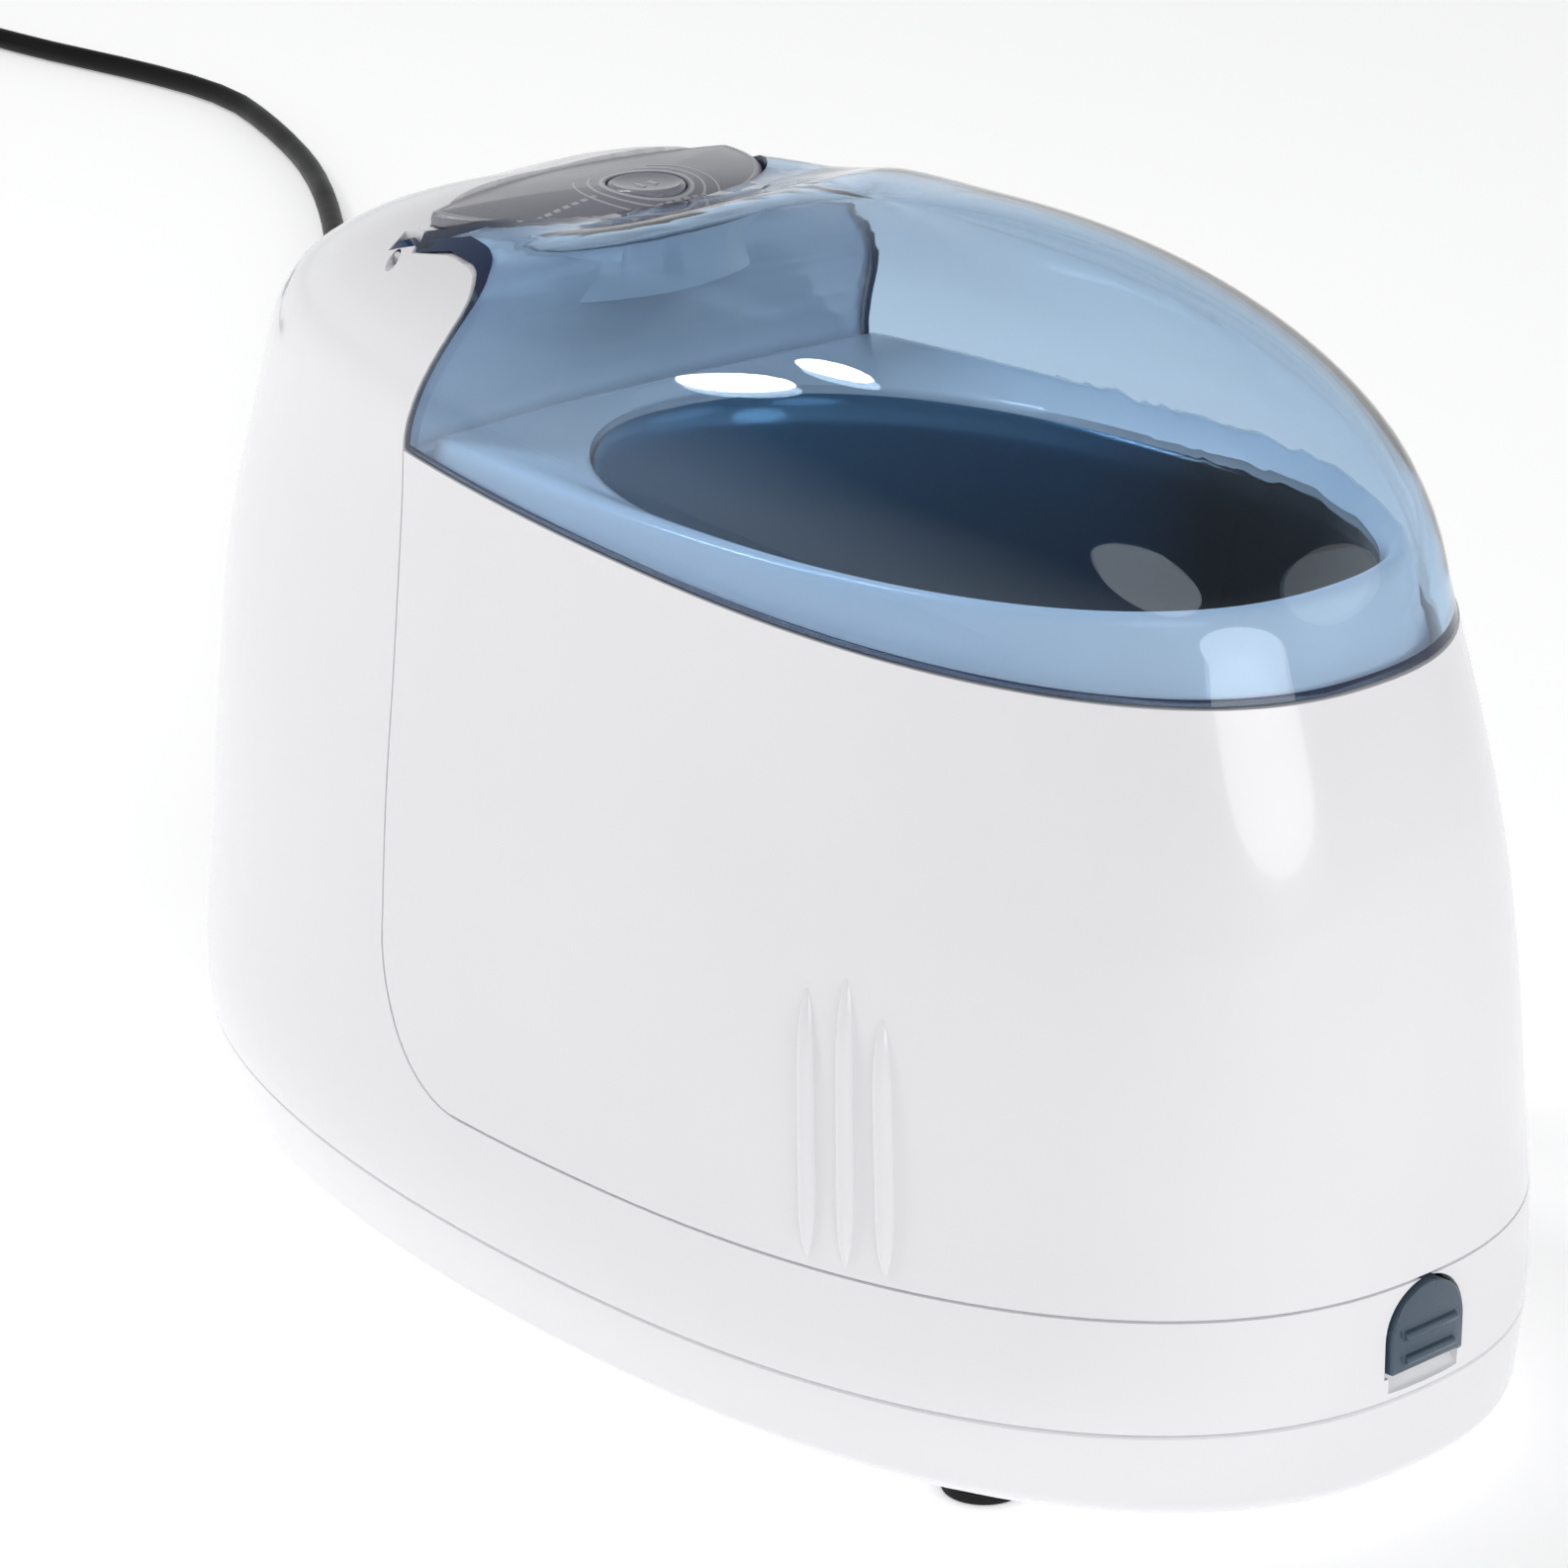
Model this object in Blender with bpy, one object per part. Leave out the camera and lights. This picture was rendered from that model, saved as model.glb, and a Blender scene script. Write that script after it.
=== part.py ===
"""Household ultrasonic cleaner with a removable tank unit and a hinged see-through lid.

Frame: +Z up, the origin on the table under the middle of the machine, the long axis along Y.
The latch is at -Y, the rear column with the control panel at +Y, and the width runs along X.
The machine is an L-shaped base housing (a low band and a rear column), a tank unit that stands
in the L, and a domed lid that is hinged on the head of the rear column.
"""
from math import cos, exp, log, pi, sin, sqrt, tau

import bmesh
import bpy
from mathutils import Matrix, Vector

# ---------------------------------------------------------------- driving dimensions (metres)
STEPS = 48                      # points round the plan outline
WALL = 0.0024                   # moulded wall thickness
GAP = 0.0004                    # gap left between neighbouring solids
SHARP_ANGLE = 0.6               # edges sharper than this (radians) are shaded as edges
FAR = 0.2000                    # well outside the machine, for cutting shapes

CENTRE_Y = -0.0190              # where the plan outline is widest
SIDE_Z = (0.0049, 0.0220, 0.0450, 0.0700, 0.0900, 0.1150)
SIDE_HALF_WIDTH = (0.0573, 0.0607, 0.0579, 0.0548, 0.0514, 0.0478)
SIDE_FRONT = (0.1139, 0.1145, 0.1138, 0.1119, 0.1084, 0.1004)
SIDE_REAR = (0.1120, 0.1146, 0.1137, 0.1127, 0.1106, 0.1028)
PLAN_POWER_FRONT = 2.30         # superellipse powers of the plan outline
PLAN_POWER_REAR = 2.06
DOME_Z = 0.1150                 # the dome's meridians start here
APEX_Y = -0.0130
APEX_Z = 0.1538
DOME_POWER_FRONT = 1.78
DOME_POWER_SIDE = 2.20
DOME_POWER_REAR = 1.78
SHOULDER_POWER = 0.30           # extra fullness beside the control panel

BASE_Z = 0.0049                 # underside of the bottom cover
FLOOR_TOP_Z = BASE_Z + 0.0022   # its inside floor
SEAM_Z = 0.0176                 # bottom cover to base housing
BAND_Z = 0.0330                 # top of the base band
FOOT_RADIUS = 0.0056
FOOT_PLACES = ((-0.0365, -0.0720), (0.0365, -0.0720), (-0.0300, 0.0560), (0.0300, 0.0560))
PAD_TOP_Z = 0.0017              # rubber pad under each moulded foot
SCREW_SEAT_Z = 0.0056

COLUMN_Y = 0.0335               # front wall of the rear column at the tank rim
COLUMN_FOOT_Y = 0.0280          # the same wall where it meets the corner
CORNER_RADIUS = 0.0220
CORNER_Z = BAND_Z + CORNER_RADIUS

RIM_Z = 0.1153                  # tank rim height at y = 0
RIM_SLOPE = 0.061               # the rim climbs towards the rear

HINGE_Y = 0.0490
HINGE_Z = 0.1382
HINGE_CLEAR = 0.0041            # nearest the lid skin comes to the hinge axis
EAR_RADIUS = 0.0024
EAR_X = (0.0278, 0.0298)
PIN_RADIUS = 0.0010

PANEL_HALF_WIDTH = 0.0270
PANEL_DEPTH = 0.0225
PANEL_REAR_Y = 0.0465
PANEL_BOW = 0.0060                # how far its rear edge bows towards the back
POD_TOP_Z = 0.1424
PANEL_EDGE_Z = 0.1444
PANEL_CROWN = 0.0022
PLATEAU_Z = 0.1458              # the dome's height where it meets the control panel
PLATEAU_FRONT_Y = 0.0260
PLATEAU_SLOPE = 0.17
PLATEAU_BOW = 5.0
PLATEAU_SOFT = 0.0008
BUTTON_Y = 0.0330
BUTTON_RADIUS = 0.0054

OPENING_Y = -0.0320             # tank opening, a superellipse in plan
OPENING_HALF_LENGTH = 0.0590
OPENING_HALF_WIDTH = 0.0370
OPENING_POWER = 2.25
BASIN_RIM_Z = 0.1158
BASIN_FLOOR_Z = 0.0560
BASIN_SHEET = 0.0008
DECK_TOP_Z = 0.1195

LATCH_HALF_WIDTH = 0.0068
LATCH_FOOT_Z = 0.0212
LATCH_ARCH_Z = 0.0258
LATCH_FACE_Y = -0.1158
LATCH_BACK_Y = -0.1105
RIB_PROUD = 0.0009              # finger ribs of the latch
SCOOP_Z = 0.0184                # lower edge of the finger scoop under the latch
SPRING_FRONT_Y = -0.1036
SPRING_REAR_Y = -0.0970

BOARD_LIFT = 0.0040             # underside of the main board over the inside floor
BOARD_SHEET = 0.0016

CORD_RADIUS = 0.0025
CORD_EXIT_Z = 0.0125
COIL_CENTRE = (0.2874, 0.7018)
COIL_RADIUS = 0.0300            # to the middle of the turns
COIL_HALF_WIDTH = 0.0078
COIL_HEIGHT = 0.0101
EXIT_ANGLE = 1.34               # plan angle of the cord exit, just right of the middle of the back
BOOT_REACH = 0.0270             # strain relief outside the cover
BOOT_NECK_RADIUS = 0.0036
PLUG_START = (0.1560, 0.7010)
PLUG_HEADING = (-0.985, -0.174)

# The lead leaves the strain relief, drops to the table and runs behind the machine to its coil.
CORD_ROUTE = (
    (0.0445, 0.1670, 0.0062), (0.0570, 0.1860, 0.0034), (0.0740, 0.2080, 0.0027),
    (0.1010, 0.2420, 0.0027), (0.1330, 0.2810, 0.0027), (0.1680, 0.3220, 0.0027),
    (0.2030, 0.3620, 0.0027), (0.2380, 0.4040, 0.0027), (0.2749, 0.4486, 0.0027),
    (0.3092, 0.5006, 0.0027), (0.3325, 0.5530, 0.0027), (0.3375, 0.5800, 0.0027),
    (0.3365, 0.6050, 0.0027), (0.3330, 0.6355, 0.0027), (0.3315, 0.6620, 0.0027),
    (0.3300, 0.6830, 0.0027),
)
# The short tail from the far side of the coil to the plug.
TAIL_ROUTE = (
    (0.2690, 0.7425, 0.0027), (0.2450, 0.7400, 0.0027), (0.2150, 0.7250, 0.0027),
    (0.1850, 0.7110, 0.0027), (0.1650, 0.7035, 0.0030), (0.1560, 0.7010, 0.0034),
)


# ---------------------------------------------------------------- scene and materials
def clear_scene():
    for obj in list(bpy.data.objects):
        bpy.data.objects.remove(obj, do_unlink=True)
    for mesh in list(bpy.data.meshes):
        bpy.data.meshes.remove(mesh)
    for material in list(bpy.data.materials):
        bpy.data.materials.remove(material)


def material(name, colour, roughness=0.4, metallic=0.0, alpha=1.0):
    mat = bpy.data.materials.new(name)
    mat.use_nodes = True
    shader = mat.node_tree.nodes["Principled BSDF"]
    shader.inputs["Base Color"].default_value = (*colour, 1.0)
    shader.inputs["Roughness"].default_value = roughness
    shader.inputs["Metallic"].default_value = metallic
    shader.inputs["Alpha"].default_value = alpha
    mat.diffuse_color = (*colour, alpha)
    return mat


def make_materials():
    return {
        "white": material("white_housing", (0.80, 0.80, 0.82), 0.25),
        "lid": material("blue_lid", (0.30, 0.50, 0.70), 0.05, alpha=0.45),
        "steel": material("basin_steel", (0.60, 0.62, 0.64), 0.22, 1.0),
        "panel": material("panel_grey", (0.26, 0.26, 0.30), 0.35),
        "button": material("button_grey", (0.30, 0.30, 0.34), 0.35),
        "latch": material("latch_slate", (0.06, 0.10, 0.16), 0.30),
        "rubber": material("foot_rubber", (0.03, 0.03, 0.035), 0.80),
        "cord": material("cord_pvc", (0.010, 0.010, 0.011), 0.45),
        "board": material("board_green", (0.03, 0.16, 0.08), 0.50),
        "iron": material("core_iron", (0.10, 0.10, 0.11), 0.60, 0.6),
        "aluminium": material("aluminium", (0.70, 0.70, 0.72), 0.35, 1.0),
        "ceramic": material("piezo_ceramic", (0.62, 0.55, 0.40), 0.70),
        "brass": material("brass", (0.70, 0.52, 0.22), 0.30, 1.0),
        "zinc": material("zinc_screw", (0.55, 0.56, 0.58), 0.35, 1.0),
    }


# ---------------------------------------------------------------- mesh helpers
def finish(name, bm, mat, cutter=False):
    """Turn a bmesh into a named object with one material."""
    bmesh.ops.recalc_face_normals(bm, faces=bm.faces)
    mesh = bpy.data.meshes.new(name)
    bm.to_mesh(mesh)
    bm.free()
    if mat is not None:
        mesh.materials.append(mat)
    mesh.shade_smooth()
    mesh.set_sharp_from_angle(angle=SHARP_ANGLE)
    obj = bpy.data.objects.new(name, mesh)
    bpy.context.scene.collection.objects.link(obj)
    if cutter:
        obj.hide_render = True
        obj.display_type = "WIRE"
    return obj


def bridge(bm, lower, upper):
    count = len(lower)
    for i in range(count):
        j = (i + 1) % count
        bm.faces.new((lower[i], lower[j], upper[j], upper[i]))


def stacked(name, rings, mat, cutter=False, closed=False):
    """A solid skinned over rings of equal point count; closed joins the last ring to the first."""
    bm = bmesh.new()
    rows = [[bm.verts.new(p) for p in ring] for ring in rings]
    for lower, upper in zip(rows, rows[1:]):
        bridge(bm, lower, upper)
    if closed:
        bridge(bm, rows[-1], rows[0])
    else:
        bm.faces.new(rows[0])
        bm.faces.new(rows[-1])
    return finish(name, bm, mat, cutter)


def prism(name, outline, axis, low, high, mat, cutter=False):
    """An outline of (a, b) pairs extruded along X, Y or Z between low and high."""
    place = {
        "X": lambda a, b, t: (t, a, b),
        "Y": lambda a, b, t: (a, t, b),
        "Z": lambda a, b, t: (a, b, t),
    }[axis]
    return stacked(name, [[place(a, b, t) for a, b in outline] for t in (low, high)], mat, cutter)


def box(name, low, high, mat, cutter=False):
    outline = ((low[0], low[1]), (high[0], low[1]), (high[0], high[1]), (low[0], high[1]))
    return prism(name, outline, "Z", low[2], high[2], mat, cutter)


def turned(name, profile, centre, axis, mat, steps=32, cutter=False, closed=False):
    """A solid of revolution: (radius, height) pairs along axis; closed makes the profile a ring's section."""
    turn = Vector((0, 0, 1)).rotation_difference(Vector(axis)).to_matrix()
    rings = []
    for radius, height in profile:
        ring = [turn @ Vector((radius * cos(tau * k / steps), radius * sin(tau * k / steps), height))
                for k in range(steps)]
        rings.append([Vector(centre) + p for p in ring])
    return stacked(name, rings, mat, cutter, closed)


def ring_solid(name, profile, centre, axis, mat, steps=32):
    return turned(name, profile, centre, axis, mat, steps, closed=True)


def rod(name, start, end, radius, mat, steps=16, cutter=False):
    axis = Vector(end) - Vector(start)
    return turned(name, ((radius, 0.0), (radius, axis.length)), start, axis.normalized(), mat, steps, cutter)


def boolean(obj, other, operation):
    mod = obj.modifiers.new(operation.lower() + "_" + other.name, "BOOLEAN")
    mod.operation = operation
    mod.object = other
    mod.solver = "EXACT"


def hinge_parent(obj, name, location):
    """Hang a moving piece from an empty that sits on its joint's axis."""
    empty = bpy.data.objects.new(name, None)
    empty.location = location
    bpy.context.scene.collection.objects.link(empty)
    obj.parent = empty
    obj.matrix_parent_inverse = Matrix.Translation(-Vector(location))


# ---------------------------------------------------------------- the body's outer form
def along(z, values):
    """Value at height z, running smoothly through the side stations."""
    z = min(max(z, SIDE_Z[0]), SIDE_Z[-1])
    for (z0, v0), (z1, v1) in zip(zip(SIDE_Z, values), zip(SIDE_Z[1:], values[1:])):
        if z <= z1:
            return v0 + (v1 - v0) * (z - z0) / (z1 - z0)
    return values[-1]


def plan_point(angle, half_width, front, rear):
    """Point of the plan outline: a front and a rear superellipse joined at the widest line."""
    c = cos(angle)
    s = sin(angle)
    power = PLAN_POWER_FRONT if s < 0 else PLAN_POWER_REAR
    x = half_width * (abs(c) ** (2 / power)) * (1 if c > 0 else -1)
    reach = (front + CENTRE_Y) if s < 0 else (rear - CENTRE_Y)
    y = CENTRE_Y + reach * (abs(s) ** (2 / power)) * (1 if s > 0 else -1)
    return x, y


def dome_power(angle):
    c2 = cos(angle) ** 2
    s2 = sin(angle) ** 2
    if sin(angle) < 0:
        return DOME_POWER_SIDE * c2 + DOME_POWER_FRONT * s2
    return DOME_POWER_SIDE * c2 + DOME_POWER_REAR * s2 + SHOULDER_POWER * 4 * c2 * s2


def skin(angle, z, inset=0.0):
    """Point (x, y) of the outer form at height z, moved inwards by inset."""
    side_z = min(z, DOME_Z)
    x, y = plan_point(angle, along(side_z, SIDE_HALF_WIDTH) - inset,
                      along(side_z, SIDE_FRONT) - inset, along(side_z, SIDE_REAR) - inset)
    if z > DOME_Z:
        rise = min((z - DOME_Z) / (APEX_Z - inset - DOME_Z), 1.0)
        power = dome_power(angle)
        shrink = max(1.0 - rise ** power, 0.0) ** (1.0 / power)
        x *= shrink
        y = APEX_Y + (y - APEX_Y) * shrink
    return x, y


def settled(y, z, inset):
    """Height z drawn down behind the dome's crown, where the dome comes level with the control panel."""
    ahead = max(PLATEAU_FRONT_Y - y, 0.0)
    level = PLATEAU_Z - inset + PLATEAU_SLOPE * ahead + PLATEAU_BOW * ahead ** 2
    over = (z - level) / PLATEAU_SOFT
    if over < -8.0:
        return z
    return level - PLATEAU_SOFT * log(1.0 + exp(-over))


def ring(z, inset=0.0):
    points = [skin(tau * k / STEPS, z, inset) for k in range(STEPS)]
    return [(x, y, settled(y, z, inset)) for x, y in points]


def form_heights(low, inset):
    """Heights of the rings that describe the form from low to its apex."""
    heights = [low] + [z for z in SIDE_Z if z > low + 0.001] + [0.1030]
    height = APEX_Z - inset - DOME_Z
    heights += [DOME_Z + height * sin(a * pi / 2)
                for a in (0.12, 0.25, 0.38, 0.5, 0.62, 0.73, 0.83, 0.92, 0.975)]
    return sorted(heights)


def form(name, low, inset, mat, cutter=False):
    """The whole outer form, closed at the bottom at height low."""
    return stacked(name, [ring(z, inset) for z in form_heights(low, inset)], mat, cutter)


def rim_height(y):
    return RIM_Z + RIM_SLOPE * y


def column_line(z, offset=0.0):
    """Front face of the rear column at height z, with its rounded inner corner, moved forward by offset."""
    if z < CORNER_Z:
        radius = CORNER_RADIUS - offset
        drop = min(CORNER_Z - z, radius)
        return COLUMN_FOOT_Y - CORNER_RADIUS + sqrt(radius ** 2 - drop ** 2)
    slope = (COLUMN_Y - COLUMN_FOOT_Y) / (rim_height(COLUMN_Y) - CORNER_Z)
    return COLUMN_FOOT_Y - offset + slope * (z - CORNER_Z)


def arc(centre, radius, start, end, count):
    """Points of an arc; angles in degrees, measured from +Y towards +Z in the side view."""
    points = []
    for k in range(count + 1):
        a = (start + (end - start) * k / count) * pi / 180
        points.append((centre[0] + radius * cos(a), centre[1] + radius * sin(a)))
    return points


def head_line(offset):
    """Side view of the column's head: under the brow, round it, over the top to the hinge."""
    brow = [(0.0332, 0.1205), (0.0318, 0.1250), (0.0296, 0.1298), (0.0280, 0.1335), (0.0270, 0.1375)]
    crown = [(0.0284, 0.1401), (0.0312, 0.1412), (0.0375, 0.1413)]
    line = [(COLUMN_Y, rim_height(COLUMN_Y))] + brow + crown
    moved = []
    for k, (y, z) in enumerate(line):
        before = line[max(k - 1, 0)]
        after = line[min(k + 1, len(line) - 1)]
        length = sqrt((after[0] - before[0]) ** 2 + (after[1] - before[1]) ** 2)
        moved.append((y - offset * (after[1] - before[1]) / length,
                      z + offset * (after[0] - before[0]) / length))
    return moved + arc((HINGE_Y, HINGE_Z), HINGE_CLEAR - GAP + offset, 155, 90, 5)


# ---------------------------------------------------------------- base: cover, feet, electronics
def bottom_cover(mats):
    top = SEAM_Z - GAP / 2
    outer = [ring(BASE_Z, 0.0022), ring(BASE_Z + 0.0009, 0.0008), ring(BASE_Z + 0.0024), ring(top)]
    inner = [ring(top, WALL), ring(FLOOR_TOP_Z, WALL + 0.0008)]
    cover = stacked("bottom_cover", outer + inner, mats["white"])
    place, heading = cord_exit()
    exit_hole = rod("cut_cord_exit", place - heading * 0.010, place + heading * 0.010,
                    BOOT_NECK_RADIUS + 0.0006, None, 20, True)
    boolean(cover, exit_hole, "DIFFERENCE")
    for k, (x, y) in enumerate(FOOT_PLACES):
        boss = turned(f"cut_boss_{k + 1}", ((0.0060, PAD_TOP_Z + GAP), (0.0074, BASE_Z - 0.0010),
                                            (0.0094, BASE_Z + 0.0010)), (x, y, 0), (0, 0, 1), None, 24, True)
        boolean(cover, boss, "UNION")
        profile = ((0.0028, 0.0), (0.0028, SCREW_SEAT_Z), (0.0018, SCREW_SEAT_Z), (0.0018, FLOOR_TOP_Z + 0.005))
        bore = turned(f"cut_screw_{k + 1}", profile, (x, y, 0), (0, 0, 1), None, 16, True)
        boolean(cover, bore, "DIFFERENCE")


def feet_and_screws(mats):
    for k, (x, y) in enumerate(FOOT_PLACES):
        profile = ((0.0030, 0.0), (FOOT_RADIUS - 0.0005, 0.0), (FOOT_RADIUS, 0.0005),
                   (FOOT_RADIUS, PAD_TOP_Z), (0.0030, PAD_TOP_Z))
        ring_solid(f"foot_{k + 1}", profile, (x, y, 0), (0, 0, 1), mats["rubber"], 20)
        screw = ((0.0024, SCREW_SEAT_Z - 0.0024), (0.0024, SCREW_SEAT_Z - GAP),
                 (0.0014, SCREW_SEAT_Z - GAP / 2), (0.0014, 0.0110))
        turned(f"cover_screw_{k + 1}", screw, (x, y, 0), (0, 0, 1), mats["zinc"], 12)


def electronics(mats):
    floor = FLOOR_TOP_Z + GAP
    board_low = floor + BOARD_LIFT
    box("main_board", (-0.0280, 0.0340, board_low), (0.0280, 0.0860, board_low + BOARD_SHEET), mats["board"])
    box("board_rest", (-0.0180, 0.0400, floor), (0.0180, 0.0480, board_low - GAP), mats["white"])
    top = board_low + BOARD_SHEET + GAP
    box("inductor", (-0.0220, 0.0560, top), (-0.0020, 0.0760, top + 0.0180), mats["iron"])
    turned("filter_capacitor", ((0.0060, 0.0), (0.0060, 0.0200), (0.0052, 0.0208)), (0.0130, 0.0770, top),
           (0, 0, 1), mats["latch"], 20)
    fins = []
    for k in range(5):
        left = 0.0040 + 0.0046 * k
        fins += [(left, 0.0580), (left, 0.0680), (left + 0.0016, 0.0680), (left + 0.0016, 0.0580)]
    outline = [(0.0040, 0.0550)] + fins + [(0.0240, 0.0550)]
    prism("heat_sink", outline, "Z", top, top + 0.0300, mats["aluminium"])
    box("control_board", (-0.0180, 0.0325, 0.1332), (0.0180, 0.0425, 0.1332 + BOARD_SHEET), mats["board"])


def base_housing(mats):
    """L-shaped shell: the low band round the tank bay, the rear column and its head."""
    housing = form("base_housing", SEAM_Z + 0.0001, 0.0, mats["white"])
    ell = [(-FAR, -0.010), (-FAR, BAND_Z), (COLUMN_FOOT_Y - CORNER_RADIUS, BAND_Z)]
    ell += [(column_line(BAND_Z + CORNER_RADIUS * (1 - cos(a * pi / 16))),
             BAND_Z + CORNER_RADIUS * (1 - cos(a * pi / 16))) for a in range(1, 9)]
    ell += head_line(0.0)
    ell += [(HINGE_Y, FAR), (FAR, FAR), (FAR, -0.010)]
    region = prism("cut_ell", ell, "X", -FAR, FAR, None, True)
    pod = prism("cut_pod", panel_outline(0.0, 0.0520), "Z", 0.1330, POD_TOP_Z, None, True)
    boolean(region, pod, "UNION")
    behind = box("cut_behind_panel", (-PANEL_HALF_WIDTH, PANEL_REAR_Y + GAP, 0.1340),
                 (PANEL_HALF_WIDTH, HINGE_Y + 0.0040, 0.1900), None, True)
    boolean(region, behind, "UNION")
    boolean(housing, region, "INTERSECT")

    inner = form("cut_housing_inner", -0.010, WALL, None, True)
    inset_ell = [(-FAR, -0.020), (-FAR, BAND_Z - WALL)]
    inset_ell += [(column_line(BAND_Z + 0.002) + WALL, BAND_Z - WALL)]
    inset_ell += [(column_line(BAND_Z + CORNER_RADIUS * (1 - cos(a * pi / 16))) + WALL,
                   BAND_Z + CORNER_RADIUS * (1 - cos(a * pi / 16))) for a in range(3, 9)]
    inset_ell += [(COLUMN_Y + WALL, 0.1180), (0.0352, 0.1230), (0.0310, 0.1340), (0.0296, 0.1366),
                  (0.0310, 0.1386), (0.0420, 0.1388), (0.0445, 0.1345), (0.0535, 0.1345),
                  (0.0560, 0.1600), (FAR, 0.1600), (FAR, -0.020)]
    boolean(inner, prism("cut_inner_ell", inset_ell, "X", -FAR, FAR, None, True), "INTERSECT")
    boolean(housing, inner, "DIFFERENCE")
    seat = prism("cut_panel_seat", panel_edge(GAP), "Z", POD_TOP_Z, FAR, None, True)
    boolean(housing, seat, "DIFFERENCE")

    well = rod("cut_button_well", (0, BUTTON_Y, 0.1370), (0, BUTTON_Y, 0.1500), 0.0034, None, 24, True)
    boolean(housing, well, "DIFFERENCE")
    for side in (-1, 1):
        name = "left" if side < 0 else "right"
        x0, x1 = sorted((side * (EAR_X[0] - GAP), side * (EAR_X[1] + GAP)))
        slot = [(0.0425, 0.1600), (0.0425, HINGE_Z - 0.0019)]
        slot += arc((HINGE_Y, HINGE_Z), EAR_RADIUS + 0.0005, 219, 390, 14)
        slot += [(HINGE_Y + 0.0025, 0.1600)]
        boolean(housing, prism(f"cut_ear_{name}", slot, "X", x0, x1, None, True), "DIFFERENCE")
        hole = rod(f"cut_pin_{name}", (side * 0.0240, HINGE_Y, HINGE_Z), (side * 0.0350, HINGE_Y, HINGE_Z),
                   PIN_RADIUS + 0.0003, None, 16, True)
        boolean(housing, hole, "DIFFERENCE")
        rod(f"hinge_pin_{name}", (side * 0.0252, HINGE_Y, HINGE_Z), (side * 0.0308, HINGE_Y, HINGE_Z),
            PIN_RADIUS, mats["zinc"], 16)

    hollow = prism("cut_latch_bay", latch_outline(GAP + 0.0001), "Y", -0.130, -0.104, None, True)
    boolean(housing, hollow, "DIFFERENCE")
    slope = ((-0.1300, SCOOP_Z), (-0.1146, SCOOP_Z), (-0.1129, SCOOP_Z + 0.0019), (-0.1129, 0.0212),
             (-0.1300, 0.0212))
    half = LATCH_HALF_WIDTH - 0.0003
    boolean(housing, prism("cut_scoop", slope, "X", -half, half, None, True), "DIFFERENCE")
    socket_hole = box("cut_socket", (-0.0104, -0.0304, 0.025), (0.0104, -0.0136, 0.040), None, True)
    boolean(housing, socket_hole, "DIFFERENCE")


# ---------------------------------------------------------------- control panel and latch
def panel_outline(inset, rear_y):
    """Half ellipse in plan, its straight side at rear_y."""
    half = PANEL_HALF_WIDTH - inset
    depth = PANEL_DEPTH - inset
    points = [(half * cos(a * pi / 24), PANEL_REAR_Y - depth * sin(a * pi / 24)) for a in range(0, 25)]
    if rear_y > PANEL_REAR_Y + 0.0001:
        points = [(half, rear_y)] + points + [(-half, rear_y)]
    return points


def panel_edge(grow):
    """The panel's whole outline: the front half ellipse and the bowed rear edge."""
    half = PANEL_HALF_WIDTH + grow
    rear = [-half + 2 * half * k / 12 for k in range(1, 12)]
    return panel_outline(-grow, PANEL_REAR_Y) + [(x, PANEL_REAR_Y + (PANEL_BOW + grow) * (1 - (x / half) ** 2))
                                                 for x in rear]


def control_panel(mats):
    edge = panel_edge(0.0)
    middle = Vector((0, BUTTON_Y, 0))

    def loop(scale, z_of):
        row = []
        for x, y in edge:
            p = middle.lerp(Vector((x, y, 0)), scale)
            row.append((p.x, p.y, z_of(scale)))
        return row

    seat = POD_TOP_Z + GAP
    rows = [loop(1.0, lambda t: seat), loop(1.0, lambda t: PANEL_EDGE_Z - 0.0005)]
    rows += [loop(s, lambda t: PANEL_EDGE_Z + PANEL_CROWN * (1 - t * t)) for s in (0.985, 0.8, 0.6, 0.4, 0.2)]
    panel = stacked("control_panel", rows, mats["panel"])
    hole = rod("cut_panel_button", (0, BUTTON_Y, 0.140), (0, BUTTON_Y, 0.150), BUTTON_RADIUS + 0.0003,
               None, 32, True)
    boolean(panel, hole, "DIFFERENCE")

    top = PANEL_EDGE_Z + PANEL_CROWN
    profile = ((0.0030, 0.1385), (0.0030, 0.1436), (BUTTON_RADIUS, 0.1438), (BUTTON_RADIUS, top - 0.0003),
               (BUTTON_RADIUS - 0.0004, top))
    button = turned("power_button", profile, (0, BUTTON_Y, 0), (0, 0, 1), mats["button"], 32)
    hinge_parent(button, "power_button_axis", (0, BUTTON_Y, PANEL_EDGE_Z))


def latch_outline(offset):
    """Arch in front view: flat foot, straight sides, round top."""
    half = LATCH_HALF_WIDTH + offset
    points = [(-half, LATCH_FOOT_Z - offset), (half, LATCH_FOOT_Z - offset)]
    points += [(half * cos(a * pi / 12), LATCH_ARCH_Z + half * sin(a * pi / 12)) for a in range(0, 13)]
    return points


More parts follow.
